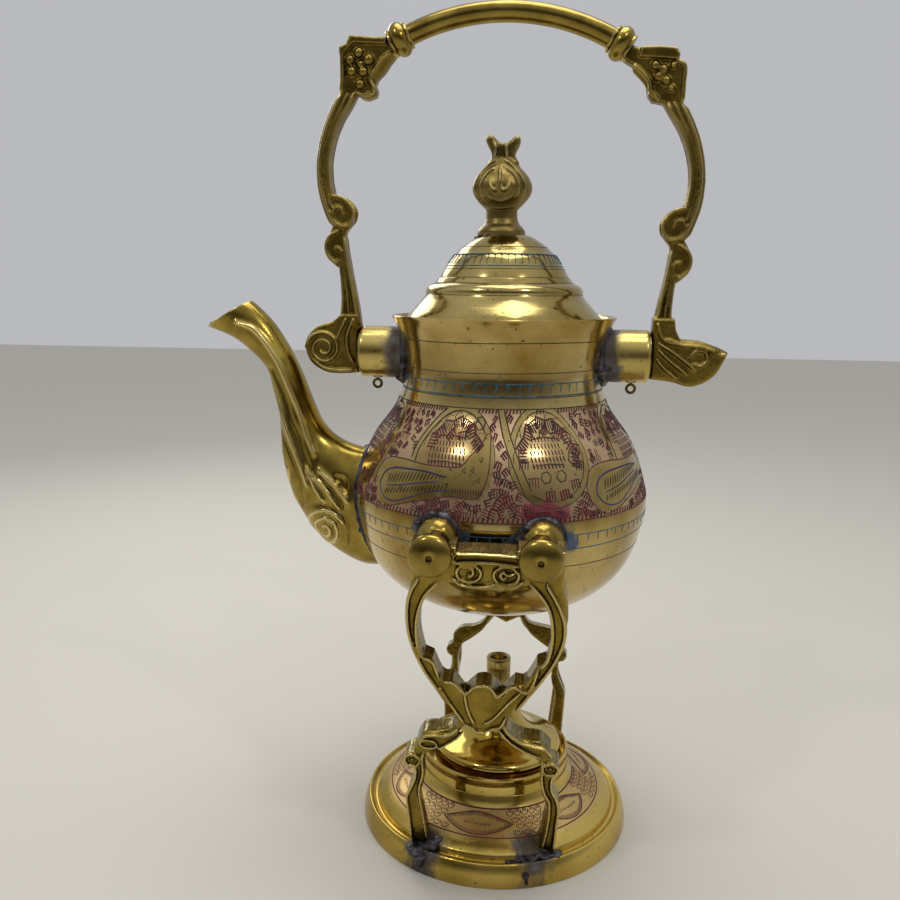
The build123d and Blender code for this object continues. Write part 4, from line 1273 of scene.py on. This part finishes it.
# the four studs that hang in the hooks
stud = {"x": 14.5, "z": 109.504}
studLine = ([(0, 41.0), (4.0, 41.0)]
            + [(6.2 * math.cos(t), 44.3 + 6.2 * math.sin(t)) for t in map(math.radians, range(-24, 56, 6))]
            + [(3.5, 49.5), (3.35, 51), (3.3, 55), (3.45, 58.4), (3.5, 59.1), (4.5, 59.2), (5.3, 59.7),
               (5.75, 60.6), (5.9, 61.4), (5.9, 62.5), (5.75, 63.1), (5.4, 63.55), (4.8, 63.95), (3.8, 64.4),
               (2.4, 64.8), (1.1, 65.0), (0.9, 64.9), (0.8, 64.1), (0, 64.05)])
first = lathe("studFrontLeft", studLine, 64, units=True)
turn(first, x=90, to=(-stud["x"], 0, stud["z"]))
carve(first, potBlock)
studs = {"stud_front_left": first, "stud_front_right": twin(first, "studFrontRight", True)}
studs["stud_back_right"] = turn(twin(first, "studBackRight"), z=180)
studs["stud_back_left"] = turn(twin(studs["stud_front_right"], "studBackLeft"), z=180)
for node, obj in studs.items():
    place(finished(obj, 38), "kettle", turnedBrass, [node])

# the sockets on the neck
socket = {"z": 157.604, "stainFrom": 41.0, "stainOver": 7.5}
socketLine = [(7.0, 24), (8.2, 24), (8.25, 30), (8.15, 34), (8.3, 38), (8.25, 43.8), (8.3, 44.4),
              (8.15, 45.0), (7.8, 45.3), (7.3, 45.3), (7.0, 45.0), (7.0, 24)]
rightSocket = lathe("socketRight", socketLine, 96, units=True)
turn(rightSocket, y=90, to=(0, 0, socket["z"]))
carve(rightSocket, potBlock)
leftSocket = twin(rightSocket, "socketLeft", True)
for node, obj in (("socket_right", rightSocket), ("socket_left", leftSocket)):
    finished(obj, 38)
    paint(obj, "stain", lambda p: clamped((socket["stainFrom"] - abs(p.x)) / socket["stainOver"]))
    place(obj, "kettle", socketBrass, [node])
print("studs and sockets turned")

# the bail handle: two cast arms, a grip and two beads
handle = {"deep": 6.5, "footDeep": 9.0, "lift": 1.9, "voxel": 0.28}


def lifted(side, points, lift=handle["lift"]):
    # points (x, height above the sockets) on one side; the left side hangs higher than the right
    return [(side * x, socket["z"] + rise - side * lift) for x, rise in points]


armCorners = {
    -1: [(46.0, 76.4), (44.7, 75.2), (42.8, 74.8), (40.1, 75.8), (39.8, 77.4), (40.4, 79.2), (39.6, 80.8),
         (37.7, 82.6), (35.8, 85.2), (33.6, 87.8), (35.4, 93.2), (38.4, 92.4), (47.9, 92.9), (48.9, 90.7),
         (51.2, 89.8), (51.4, 80.6), (51.7, 76.5)],
    1: [(46.0, 76.4), (42.5, 77.0), (41.2, 78.9), (41.6, 82.0), (41.0, 83.1), (38.4, 86.0), (33.6, 88.8),
        (35.4, 93.2), (38.4, 92.2), (48.6, 91.7), (49.8, 89.6), (50.0, 88.5), (52.1, 86.6), (52.1, 80.6),
        (51.7, 76.5)],
}


# from the corner down the outer edge to the foot, and up the inner edge again: points and the step
armEdges = [
    ([(51.7, 76.5), (54.4, 71.6), (56.9, 65.4), (58.4, 58.5), (58.6, 52.6), (57.9, 46.8), (56.1, 41.2),
      (54.3, 37.3)], 1.2),
    ([(54.3, 37.3), (56.2, 33.6), (56.5, 29.6), (55.0, 26.4), (52.0, 24.0)], 0.9),
    ([(52.0, 24.0), (51.6, 18.3), (51.9, 12.0), (53.6, 4.0)], 1.2),
    ([(45.2, 4.0), (45.9, 10.0), (47.4, 18.5), (49.0, 26.0), (50.2, 33.0), (50.0, 35.6)], 1.2),
    ([(50.0, 35.6), (48.0, 38.2), (47.8, 41.6), (49.8, 44.8), (52.4, 46.3), (54.2, 48.2)], 0.9),
    ([(54.2, 48.2), (54.9, 53.5), (54.5, 59.3), (52.8, 65.0), (50.3, 69.9), (47.6, 73.7),
      (46.0, 76.4)], 1.2),
]


def footLoop(side):
    z = socket["z"]
    if side < 0:
        scroll = smoothLine([(-45.8, -6.6), (-52.2, -7.1), (-57.5, -6.4), (-61.8, -3.4), (-63.5, 0.9),
                             (-63.0, 4.3), (-59.8, 7.8), (-54.6, 9.6)], 0.9)
        loop = scroll + [(-51.6, 12.0), (-46.2, 12.0)]
    else:
        under = smoothLine([(45.8, -6.8), (52.4, -7.6), (58.7, -8.9), (65.2, -5.6), (69.2, 1.8)], 0.9)
        loop = under + [(66.0, 3.4), (60.9, 5.1), (54.6, 5.6), (53.2, 8.4), (52.6, 12.0), (46.2, 12.0)]
    return [(x, rise + z) for x, rise in loop]


armBeads = {
    -1: [(-45.2, 247.6, 1.6), (-47.9, 245.6, 1.6), (-44.9, 244.4, 1.1), (-42.2, 245.6, 1.8),
         (-47.5, 242.4, 1.6), (-43.9, 242.2, 1.6), (-44.9, 238.6, 1.6)],
    1: [(45.4, 241.4, 1.5), (43.0, 242.6, 1.4), (46.2, 238.4, 1.5), (47.8, 236.2, 1.1), (43.9, 239.4, 1.4),
        (48.2, 242.6, 1.1)],
}
armRibs = {
    -1: [([(-50.5, 249.4), (-50.4, 241), (-50.8, 236)], 0.75),
         ([(-35.4, 247.6), (-38.6, 244.8), (-40.6, 242.2), (-41.8, 240.2), (-40.8, 237.6),
           (-40.6, 235.8)], 0.75),
         ([(-40.8, 235.7), (-43.6, 235.6), (-46.4, 236.4)], 0.65),
         ([(-54.5, 206), (-52.5, 205.8), (-49.8, 204.6), (-47.6, 201.6), (-48.2, 198.4), (-50.4, 196.8),
           (-53, 197.6), (-54.2, 200), (-53.2, 202.4), (-51.4, 202.4), (-50.6, 200.8)], 0.6),
         ([(-52.4, 195.4), (-55.2, 193.6), (-56.4, 190.4), (-55.2, 187), (-52.8, 185.8), (-51.2, 187.8),
           (-52, 190), (-53.6, 190.2)], 0.6)],
    1: [([(49.0, 243.9), (51.3, 242.4), (51.3, 238), (51.2, 232)], 0.75),
        ([(36.6, 243.0), (39.4, 240.4), (41.4, 238), (42.0, 235.4), (44.5, 233)], 0.7),
        ([(54.6, 202.4), (52.5, 202), (49.8, 200.8), (47.6, 197.8), (48.2, 194.6), (50.4, 193), (53, 193.8),
          (54.2, 196.2), (53.2, 198.6), (51.4, 198.6), (50.6, 197)], 0.6),
        ([(52.4, 191.6), (55.2, 189.8), (56.4, 186.6), (55.2, 183.2), (52.8, 182), (51.2, 184), (52, 186.2),
          (53.6, 186.4)], 0.6)],
}
# the flat bar filed along the top of each corner, at one end stepped down
armBars = {
    -1: [(-48.1, 252.7), (-49.0, 250.4), (-51.3, 249.4), (-51.3, 247.5), (-49.7, 247.7), (-47.0, 250.4),
         (-37.0, 249.9), (-36.2, 252.1), (-39.8, 251.9)],
    1: [(38.8, 247.9), (37.8, 245.0), (44.0, 244.6), (49.2, 244.1), (50.0, 245.4), (48.9, 247.5),
        (44.0, 247.9)],
}
footRibs = {
    -1: [(spiral(-57.4, 158.6, 1.2, 5.6, 200, 1.9, 50), 0.5),
         ([(-48, 152), (-52.5, 151.8), (-57, 152.4), (-61, 155)], 0.55),
         ([(-47.5, 168), (-49.6, 163), (-49.4, 158), (-47.6, 154)], 0.6),
         ([(-50, 168), (-52, 164), (-53.4, 161)], 0.55)],
    1: [([(48, 160), (52, 156.4), (57, 152.6)], 0.55), ([(48, 162), (53, 159), (59.6, 154)], 0.55),
        ([(47.6, 157), (50.6, 153.8), (54, 151.4)], 0.5), ([(50, 163.4), (55, 161.6), (60, 161.2),
                                                            (66, 159.8)], 0.6),
        ([(57.6, 158.4), (59.4, 160), (62, 159.6), (62.8, 157.4), (61, 155.4), (58.6, 156)], 0.55),
        ([(63.6, 160), (66.6, 158.8), (68.4, 159.2)], 0.6), ([(47.4, 168), (49, 163.6),
                                                              (52.6, 161.8)], 0.6)],
}


def faced(points, level, wide, face):
    # a ridge on one face of the arm: face is 1 or -1
    lines = ridge(points, level, level - 1.0, wide)
    return [([(x, y, face * z) for x, y, z in line], radius) for line, radius in lines]


def armCasting(side):
    edges = [smoothLine(lifted(side, points), gap) for points, gap in armEdges]
    outer, curlOut, shinOut, shinIn, curlIn, inner = edges
    corner = lifted(side, armCorners[side])
    loop = outer + curlOut[1:] + shinOut[1:] + shinIn + curlIn[1:] + inner[1:] + corner[1:-1]
    half, footHalf = handle["deep"] / 2, handle["footDeep"] / 2
    pieces = [slab("armSlab", [loop], 2 * half - 1.6, 0.8 - half, 1.1),
              slab("armBar", [armBars[side]], 2 * half + 0.2, -half - 0.1, 0.5),
              slab("footSlab", [footLoop(side)], 2 * footHalf - 1.8, 0.9 - footHalf, 1.0)]
    runs = []
    for face in (1, -1):
        for share in (0.17, 0.5, 0.83):
            runs += faced(between(outer, inner[::-1], share, 40), half, 0.6, face)
        for share in (0.15, 0.5, 0.85):
            runs += faced(between(shinOut, shinIn[::-1], share, 30), half, 0.55, face)
        for points, radius in armRibs[side]:
            runs += faced(smoothLine(points, 0.7), half + 0.05, radius, face)
        for points, radius in footRibs[side]:
            runs += faced(smoothLine(points, 0.7), footHalf, radius, face)
        for x, z, radius in armBeads[side]:
            pieces.append(ball((x, z, face * (half - 0.8)), radius))
    runs.append(([(x, z, 0) for x, z in between(outer, inner[::-1], 0.02, 40)], 1.1))
    pieces.append(rods("armRibs", runs))
    if side < 0:
        pieces.append(ball((-63.4, 159, 0), 1.3))
    casting = joined("arm", pieces)
    turn(casting, x=90)
    name = "armLeft" if side < 0 else "armRight"
    return toMetres(fuse(name, [casting], handle["voxel"], 1, 0.5, (2.2, 0.12)))


for side, word in ((-1, "left"), (1, "right")):
    place(armCasting(side), "bail_handle", handleBrass, ["handle_arm_" + word])
print("handle arms cast")

grip = {"radius": 3.1, "beadX": 33.0, "beadRise": 92.9, "rise": 104.5, "tilt": 1.2}
leftEnd = lifted(-1, [(grip["beadX"], grip["beadRise"])], grip["tilt"])[0]
rightEnd = lifted(1, [(grip["beadX"], grip["beadRise"])], grip["tilt"])[0]
topSpot = (0, socket["z"] + grip["rise"] - grip["radius"])


def circleThrough(a, b, c):
    d = 2 * (a[0] * (b[1] - c[1]) + b[0] * (c[1] - a[1]) + c[0] * (a[1] - b[1]))
    sq = [p[0] ** 2 + p[1] ** 2 for p in (a, b, c)]
    x = (sq[0] * (b[1] - c[1]) + sq[1] * (c[1] - a[1]) + sq[2] * (a[1] - b[1])) / d
    z = (sq[0] * (c[0] - b[0]) + sq[1] * (a[0] - c[0]) + sq[2] * (b[0] - a[0])) / d
    return x, z, math.hypot(a[0] - x, a[1] - z)


cx, cz, arcRadius = circleThrough(leftEnd, topSpot, rightEnd)
startAngle = math.atan2(leftEnd[1] - cz, leftEnd[0] - cx)
endAngle = math.atan2(rightEnd[1] - cz, rightEnd[0] - cx)
arcAngles = [startAngle + (endAngle - startAngle) * k / 72 for k in range(73)]
arc = [(cx + arcRadius * math.cos(t), 0, cz + arcRadius * math.sin(t)) for t in arcAngles]
gripRod = finished(rods("gripRod", [(arc, grip["radius"])], 6, 9))
place(gripRod, "bail_handle", turnedBrass, ["handle_grip"])
beadLine = [(0, -3.2), (3.9, -3.2), (4.15, -2.9), (4.15, -2.5), (3.9, -2.2), (4.5, -1.7), (5.05, -0.8),
            (5.2, 0.1), (5.0, 1.0), (4.45, 1.8), (3.95, 2.2), (4.1, 2.5), (4.1, 2.9), (3.8, 3.2), (0, 3.2)]
for word, end, angle in (("left", leftEnd, startAngle), ("right", rightEnd, endAngle)):
    bead = lathe("bead" + word.title(), beadLine, 64, units=True)
    turn(bead, y=90)
    turn(bead, y=-math.degrees(angle) + 90, to=(end[0], 0, end[1]))
    place(finished(bead, 38), "bail_handle", turnedBrass, ["collar_bead_" + word])
print("grip and beads made")

# the spout: rings of points along the stations (upper x, z, lower x, z, half width)
spout = {"wall": 1.7, "around": 128, "reliefGain": 1.3, "stations": [
    (-38.0, 48.3, -37.0, 9.0, 10.6), (-46.6, 49.1, -46.2, 9.4, 10.4), (-53.6, 51.9, -57.6, 16.0, 9.6),
    (-58.6, 56.6, -66.5, 27.0, 8.4), (-61.8, 63.4, -71.9, 41.6, 7.4), (-65.0, 71.6, -73.4, 59.6, 6.5),
    (-69.6, 81.2, -76.2, 72.4, 5.8), (-76.4, 91.0, -82.4, 79.6, 5.7), (-86.0, 98.2, -88.6, 84.2, 5.4),
    (-96.4, 97.8, -97.2, 87.6, 4.6)]}
# relief on both cheeks: points (x, z), width and height; a negative height is a groove
spoutRelief = [
    ([(-85.7, 166.7), (-79.3, 164.1), (-72.8, 155.7), (-68.3, 146.0), (-65.1, 138.3), (-62.5, 130.6),
      (-59.9, 124.8)], 0.9, 0.55),
    ([(-74.5, 151.5), (-70.2, 143.5), (-67.6, 135.7), (-65.1, 130.6), (-63.8, 125.4),
      (-61.8, 120.2)], 0.7, -0.5),
    ([(-76, 150.5), (-72.8, 142.2), (-70.2, 134.4), (-67, 126.7), (-64.4, 120.2),
      (-62.5, 113.8)], 0.8, 0.45),
    ([(-73.4, 138.3), (-72.2, 131.9), (-68.9, 125.4), (-66.4, 119), (-65.1, 112.5),
      (-64.6, 107)], 0.7, -0.5),
    ([(-74, 131), (-72.6, 125.6), (-70.0, 119.4), (-69.4, 114.6)], 0.8, 0.5),
    ([(-72.6, 119.5), (-70.4, 114.5), (-68.0, 109.6), (-66.0, 105.4)], 0.8, 0.5),
    ([(-69.8, 109.4), (-67.4, 104), (-64.6, 99)], 0.7, -0.4),
    ([(-62.5, 120.2), (-59.9, 113.8), (-56.7, 108.6)], 0.7, 0.6),
    ([(-61.6, 116.5), (-58.6, 110.6), (-56.0, 107.2)], 0.5, -0.45),
    ([(-60.5, 117.7), (-56, 113.8), (-51.5, 107.3)], 0.8, 0.65),
    ([(-58.4, 117.4), (-54.0, 112.4), (-50.2, 107.4)], 0.55, -0.6),
    ([(-58.3, 119.6), (-52.2, 114.4), (-48.6, 109.6)], 0.85, 0.6),
    ([(-52.4, 116.9), (-50.2, 116.6), (-49.6, 113.6), (-51.0, 115.2)], 0.9, -0.9),
    (spiral(-57, 99.6, 0.9, 7.2, 150, -2.35, 60), 0.6, 0.5),
    ([(-66, 103), (-62.6, 106.9), (-57.4, 108.3), (-51.4, 106.2), (-48.6, 101.4), (-48.6, 94)], 0.6, -0.45),
]


def nearLine(line, x, z):
    best = 1e9
    for (x0, z0), (x1, z1) in zip(line, line[1:]):
        dx, dz = x1 - x0, z1 - z0
        length = max(dx * dx + dz * dz, 1e-9)
        t = clamped(((x - x0) * dx + (z - z0) * dz) / length)
        best = min(best, (x - x0 - t * dx) ** 2 + (z - z0 - t * dz) ** 2)
    return best


def reliefAt(x, z, share):
    # share is 0 on the top and bottom edges and 1 on the middle of a cheek
    height = 0.0
    for line, wide, rise, (x0, x1, z0, z1) in reliefLines:
        if x0 < x < x1 and z0 < z < z1:
            height += spout["reliefGain"] * rise * math.exp(-nearLine(line, x, z) / (wide * wide * 0.9))
    return max(-1.0, min(0.8, height)) * share


reliefLines = []
for points, wide, rise in spoutRelief:
    line = smoothLine(points, 1.0)
    xs, zs = [p[0] for p in line], [p[1] for p in line]
    reliefLines.append((line, wide, rise, (min(xs) - 2.5, max(xs) + 2.5, min(zs) - 2.5, max(zs) + 2.5)))


def spoutSkin():
    around = spout["around"]
    stations = smoothLine(spout["stations"], 0.46)
    clearSelection()
    bpy.ops.mesh.primitive_grid_add(x_subdivisions=around, y_subdivisions=len(stations) - 1, size=1)
    obj = bpy.context.object
    obj.name = "spoutSkin"
    for v in obj.data.vertices:
        column = round((v.co.x + 0.5) * around)
        row = round((v.co.y + 0.5) * (len(stations) - 1))
        ux, uz, lx, lz, wide = stations[row]
        t = 2 * math.pi * column / around
        up, side = math.cos(t), math.sin(t)
        cx, cz, hx, hz = (ux + lx) / 2, (uz + lz) / 2, (ux - lx) / 2, (uz - lz) / 2
        x, z = cx + hx * up, cz + hz * up + pot["z"]
        lift = reliefAt(x, z, clamped((abs(side) - 0.3) * 1.9))
        half = math.hypot(hx, hz)
        out = Vector((hx / half * up / half, side / wide, hz / half * up / half)).normalized() * lift
        v.co = (x + out.x, wide * side + out.y, z + out.z)
    editMode()
    bpy.ops.mesh.select_all(action='SELECT')
    bpy.ops.mesh.remove_doubles(threshold=0.01)
    bpy.ops.mesh.normals_make_consistent(inside=False)
    tip, brow = (-96.4, 87.6), (-83.4, 95.3)
    way = Vector((brow[0] - tip[0], 0, brow[1] - tip[1])).normalized()
    away = Vector((-way.z, 0, way.x))
    bpy.ops.mesh.bisect(plane_co=(tip[0], 0, pot["z"] + tip[1]), plane_no=away,
                        clear_outer=True, clear_inner=False)
    editMode(False)
    return obj


def curlRods(skin):
    # the raised lines again, as finer ridges laid on both cheeks
    bpy.context.view_layer.update()
    runs = []
    for line, wide, rise, box in reliefLines:
        for face in (1, -1):
            run = []
            for x, z in line if rise > 0 else []:
                hit, spot, normal, index = skin.ray_cast(Vector((x, -60 * face, z)), Vector((0, face, 0)))
                if hit and abs(normal.y) > 0.25:
                    run.append(tuple(spot - normal * 0.3))
            if len(run) > 3:
                runs.append((run, 0.68))
    return rods("spoutCurls", runs, 2, 0.12)


skin = spoutSkin()
curls = curlRods(skin)
toMetres(curls)
bpy.ops.object.shade_smooth()
place(curls, "kettle", spoutBrass)
wall = skin.modifiers.new("wall", 'SOLIDIFY')
wall.thickness = spout["wall"]
wall.offset = -1
applyAll(skin)
carve(skin, potBlock)
toMetres(skin)
bpy.ops.object.shade_smooth()
skin.name = "spoutCasting"
place(skin, "kettle", spoutBrass, ["spout"])
print("spout cast")


# heaps of solder where the pieces meet
def heap(name, body, spots, seed, lumps=1.0, seam=None, wide=1.1):
    # lumps of solder; seam is a closed run of points under them
    random.seed(seed)
    pieces = [rods("seam", [(seam, wide, True)])] if seam else []
    for k in range(8 if seam else 0):
        size = random.uniform(1.5, 2.4) * wide
        spots = spots + [(*random.choice(seam), size, size * 0.85)]
    for x, y, z, across, high in spots:
        for k in range(5):
            spread = across * 0.5
            spot = (x + random.uniform(-spread, spread), y + random.uniform(-spread, spread),
                    z + random.uniform(-high, high) * 0.3)
            pieces.append(ball(spot, across * random.uniform(0.45, 0.7), (1, 1, high / across)))
    obj = fuse(name, pieces, 0.35, 2 if lumps > 0.6 else 5, 0.5, (2.0, 0.4 * lumps))
    toMetres(obj)
    return place(obj, body, solderGrey)


# each lump: x, y, z, width, height
footLumps = [(-22.0, -36.6, 6.4, 3.8, 1.8), (-17.0, -35.2, 7.2, 3.8, 2.0), (-12.6, -35.6, 7.2, 3.4, 1.6),
             (-14.8, -34.4, 8.4, 2.2, 1.4), (8.0, -37.9, 6.3, 3.6, 1.0), (12.6, -37.0, 6.6, 3.8, 1.6),
             (21.4, -35.2, 6.8, 3.0, 1.6), (17.4, -35.4, 7.0, 3.2, 1.5), (21.5, 36.4, 6.4, 3.2, 1.6),
             (17.0, 35.4, 7.0, 3.4, 1.8), (-17.5, 36.4, 6.6, 3.2, 1.4), (-13.6, 36.6, 6.6, 3.0, 1.2)]
drips = [(-19.6, -39.6, 5.2, 2.2, 1.4), (-20.4, -40.0, 3.6, 1.6, 1.6), (12.6, -42.4, 4.2, 1.4, 1.8),
         (12.8, -43.2, 2.2, 0.9, 1.6)]
finialLumps = [(finial["x"] + 7.3 * math.cos(t * math.pi / 6), 6.4 * math.sin(t * math.pi / 6), 193.7, 1.3, 0.8)
               for t in range(12)]
heap("solderFeet", "stand", footLumps, 3)
heap("solderDrips", "stand", drips, 5, 0.5)
heap("solderFinial", "lid", finialLumps, 7, 0.5)


# radii in mm: the pot at the seams, and the rings of solder round a socket and a stud
seams = {"neck": 31.6, "belly": 46.6, "fall": 0.0066, "socketRing": 8.2, "studRing": 6.0}


def ringOf(radius):
    angles = [2 * math.pi * t / 40 for t in range(40)]
    return [(radius * math.cos(angle), radius * math.sin(angle)) for angle in angles]


def neckSeam(side):
    # where a socket meets the neck
    return [(side * math.sqrt(max(0, seams["neck"] ** 2 - u * u)), u, socket["z"] + v)
            for u, v in ringOf(seams["socketRing"])]


def studSeam(middle, side):
    # where a stud meets the belly
    seam = []
    for u, v in ringOf(seams["studRing"]):
        x = middle + u
        depth = math.sqrt(max(0, seams["belly"] ** 2 - x * x)) - seams["fall"] * (v ** 2)
        seam.append((x, side * depth, stud["z"] + v))
    return seam


heap("solderNeckLeft", "kettle", [], 11, 0.4, neckSeam(-1), 1.3)
heap("solderNeckRight", "kettle", [], 12, 0.4, neckSeam(1), 1.3)
for name, across, side, seed in (("solderStudLeft", -1, -1, 13), ("solderStudRight", 1, -1, 14),
                                 ("solderBackLeft", -1, 1, 16), ("solderBackRight", 1, 1, 17)):
    heap(name, "kettle", [], seed, 0.4, studSeam(across * stud["x"], side), 1.15)
seam = []
for t in range(64):
    angle = 2 * math.pi * t / 64
    y, z = 10.6 * math.sin(angle), 106.2 + 19.6 * math.cos(angle)
    radius = onLine(outerLine, z)
    seam.append((-math.sqrt(radius * radius - y * y) - 0.1, y, z))
heap("solderSpout", "kettle", [], 15, 0.4, seam, 0.95)
print("solder run")

# the CAD pieces that stay as they are
nodeLooks = {"pot_foot": potBrass, "lid_bezel": lidBrass, "pin_left": wireBrass, "pin_right": wireBrass,
             "wick": wickCotton}
for nodeName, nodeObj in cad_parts.items():
    dress(nodeObj, nodeLooks.get(nodeName, turnedBrass))
drop(potBlock, baseBlock)
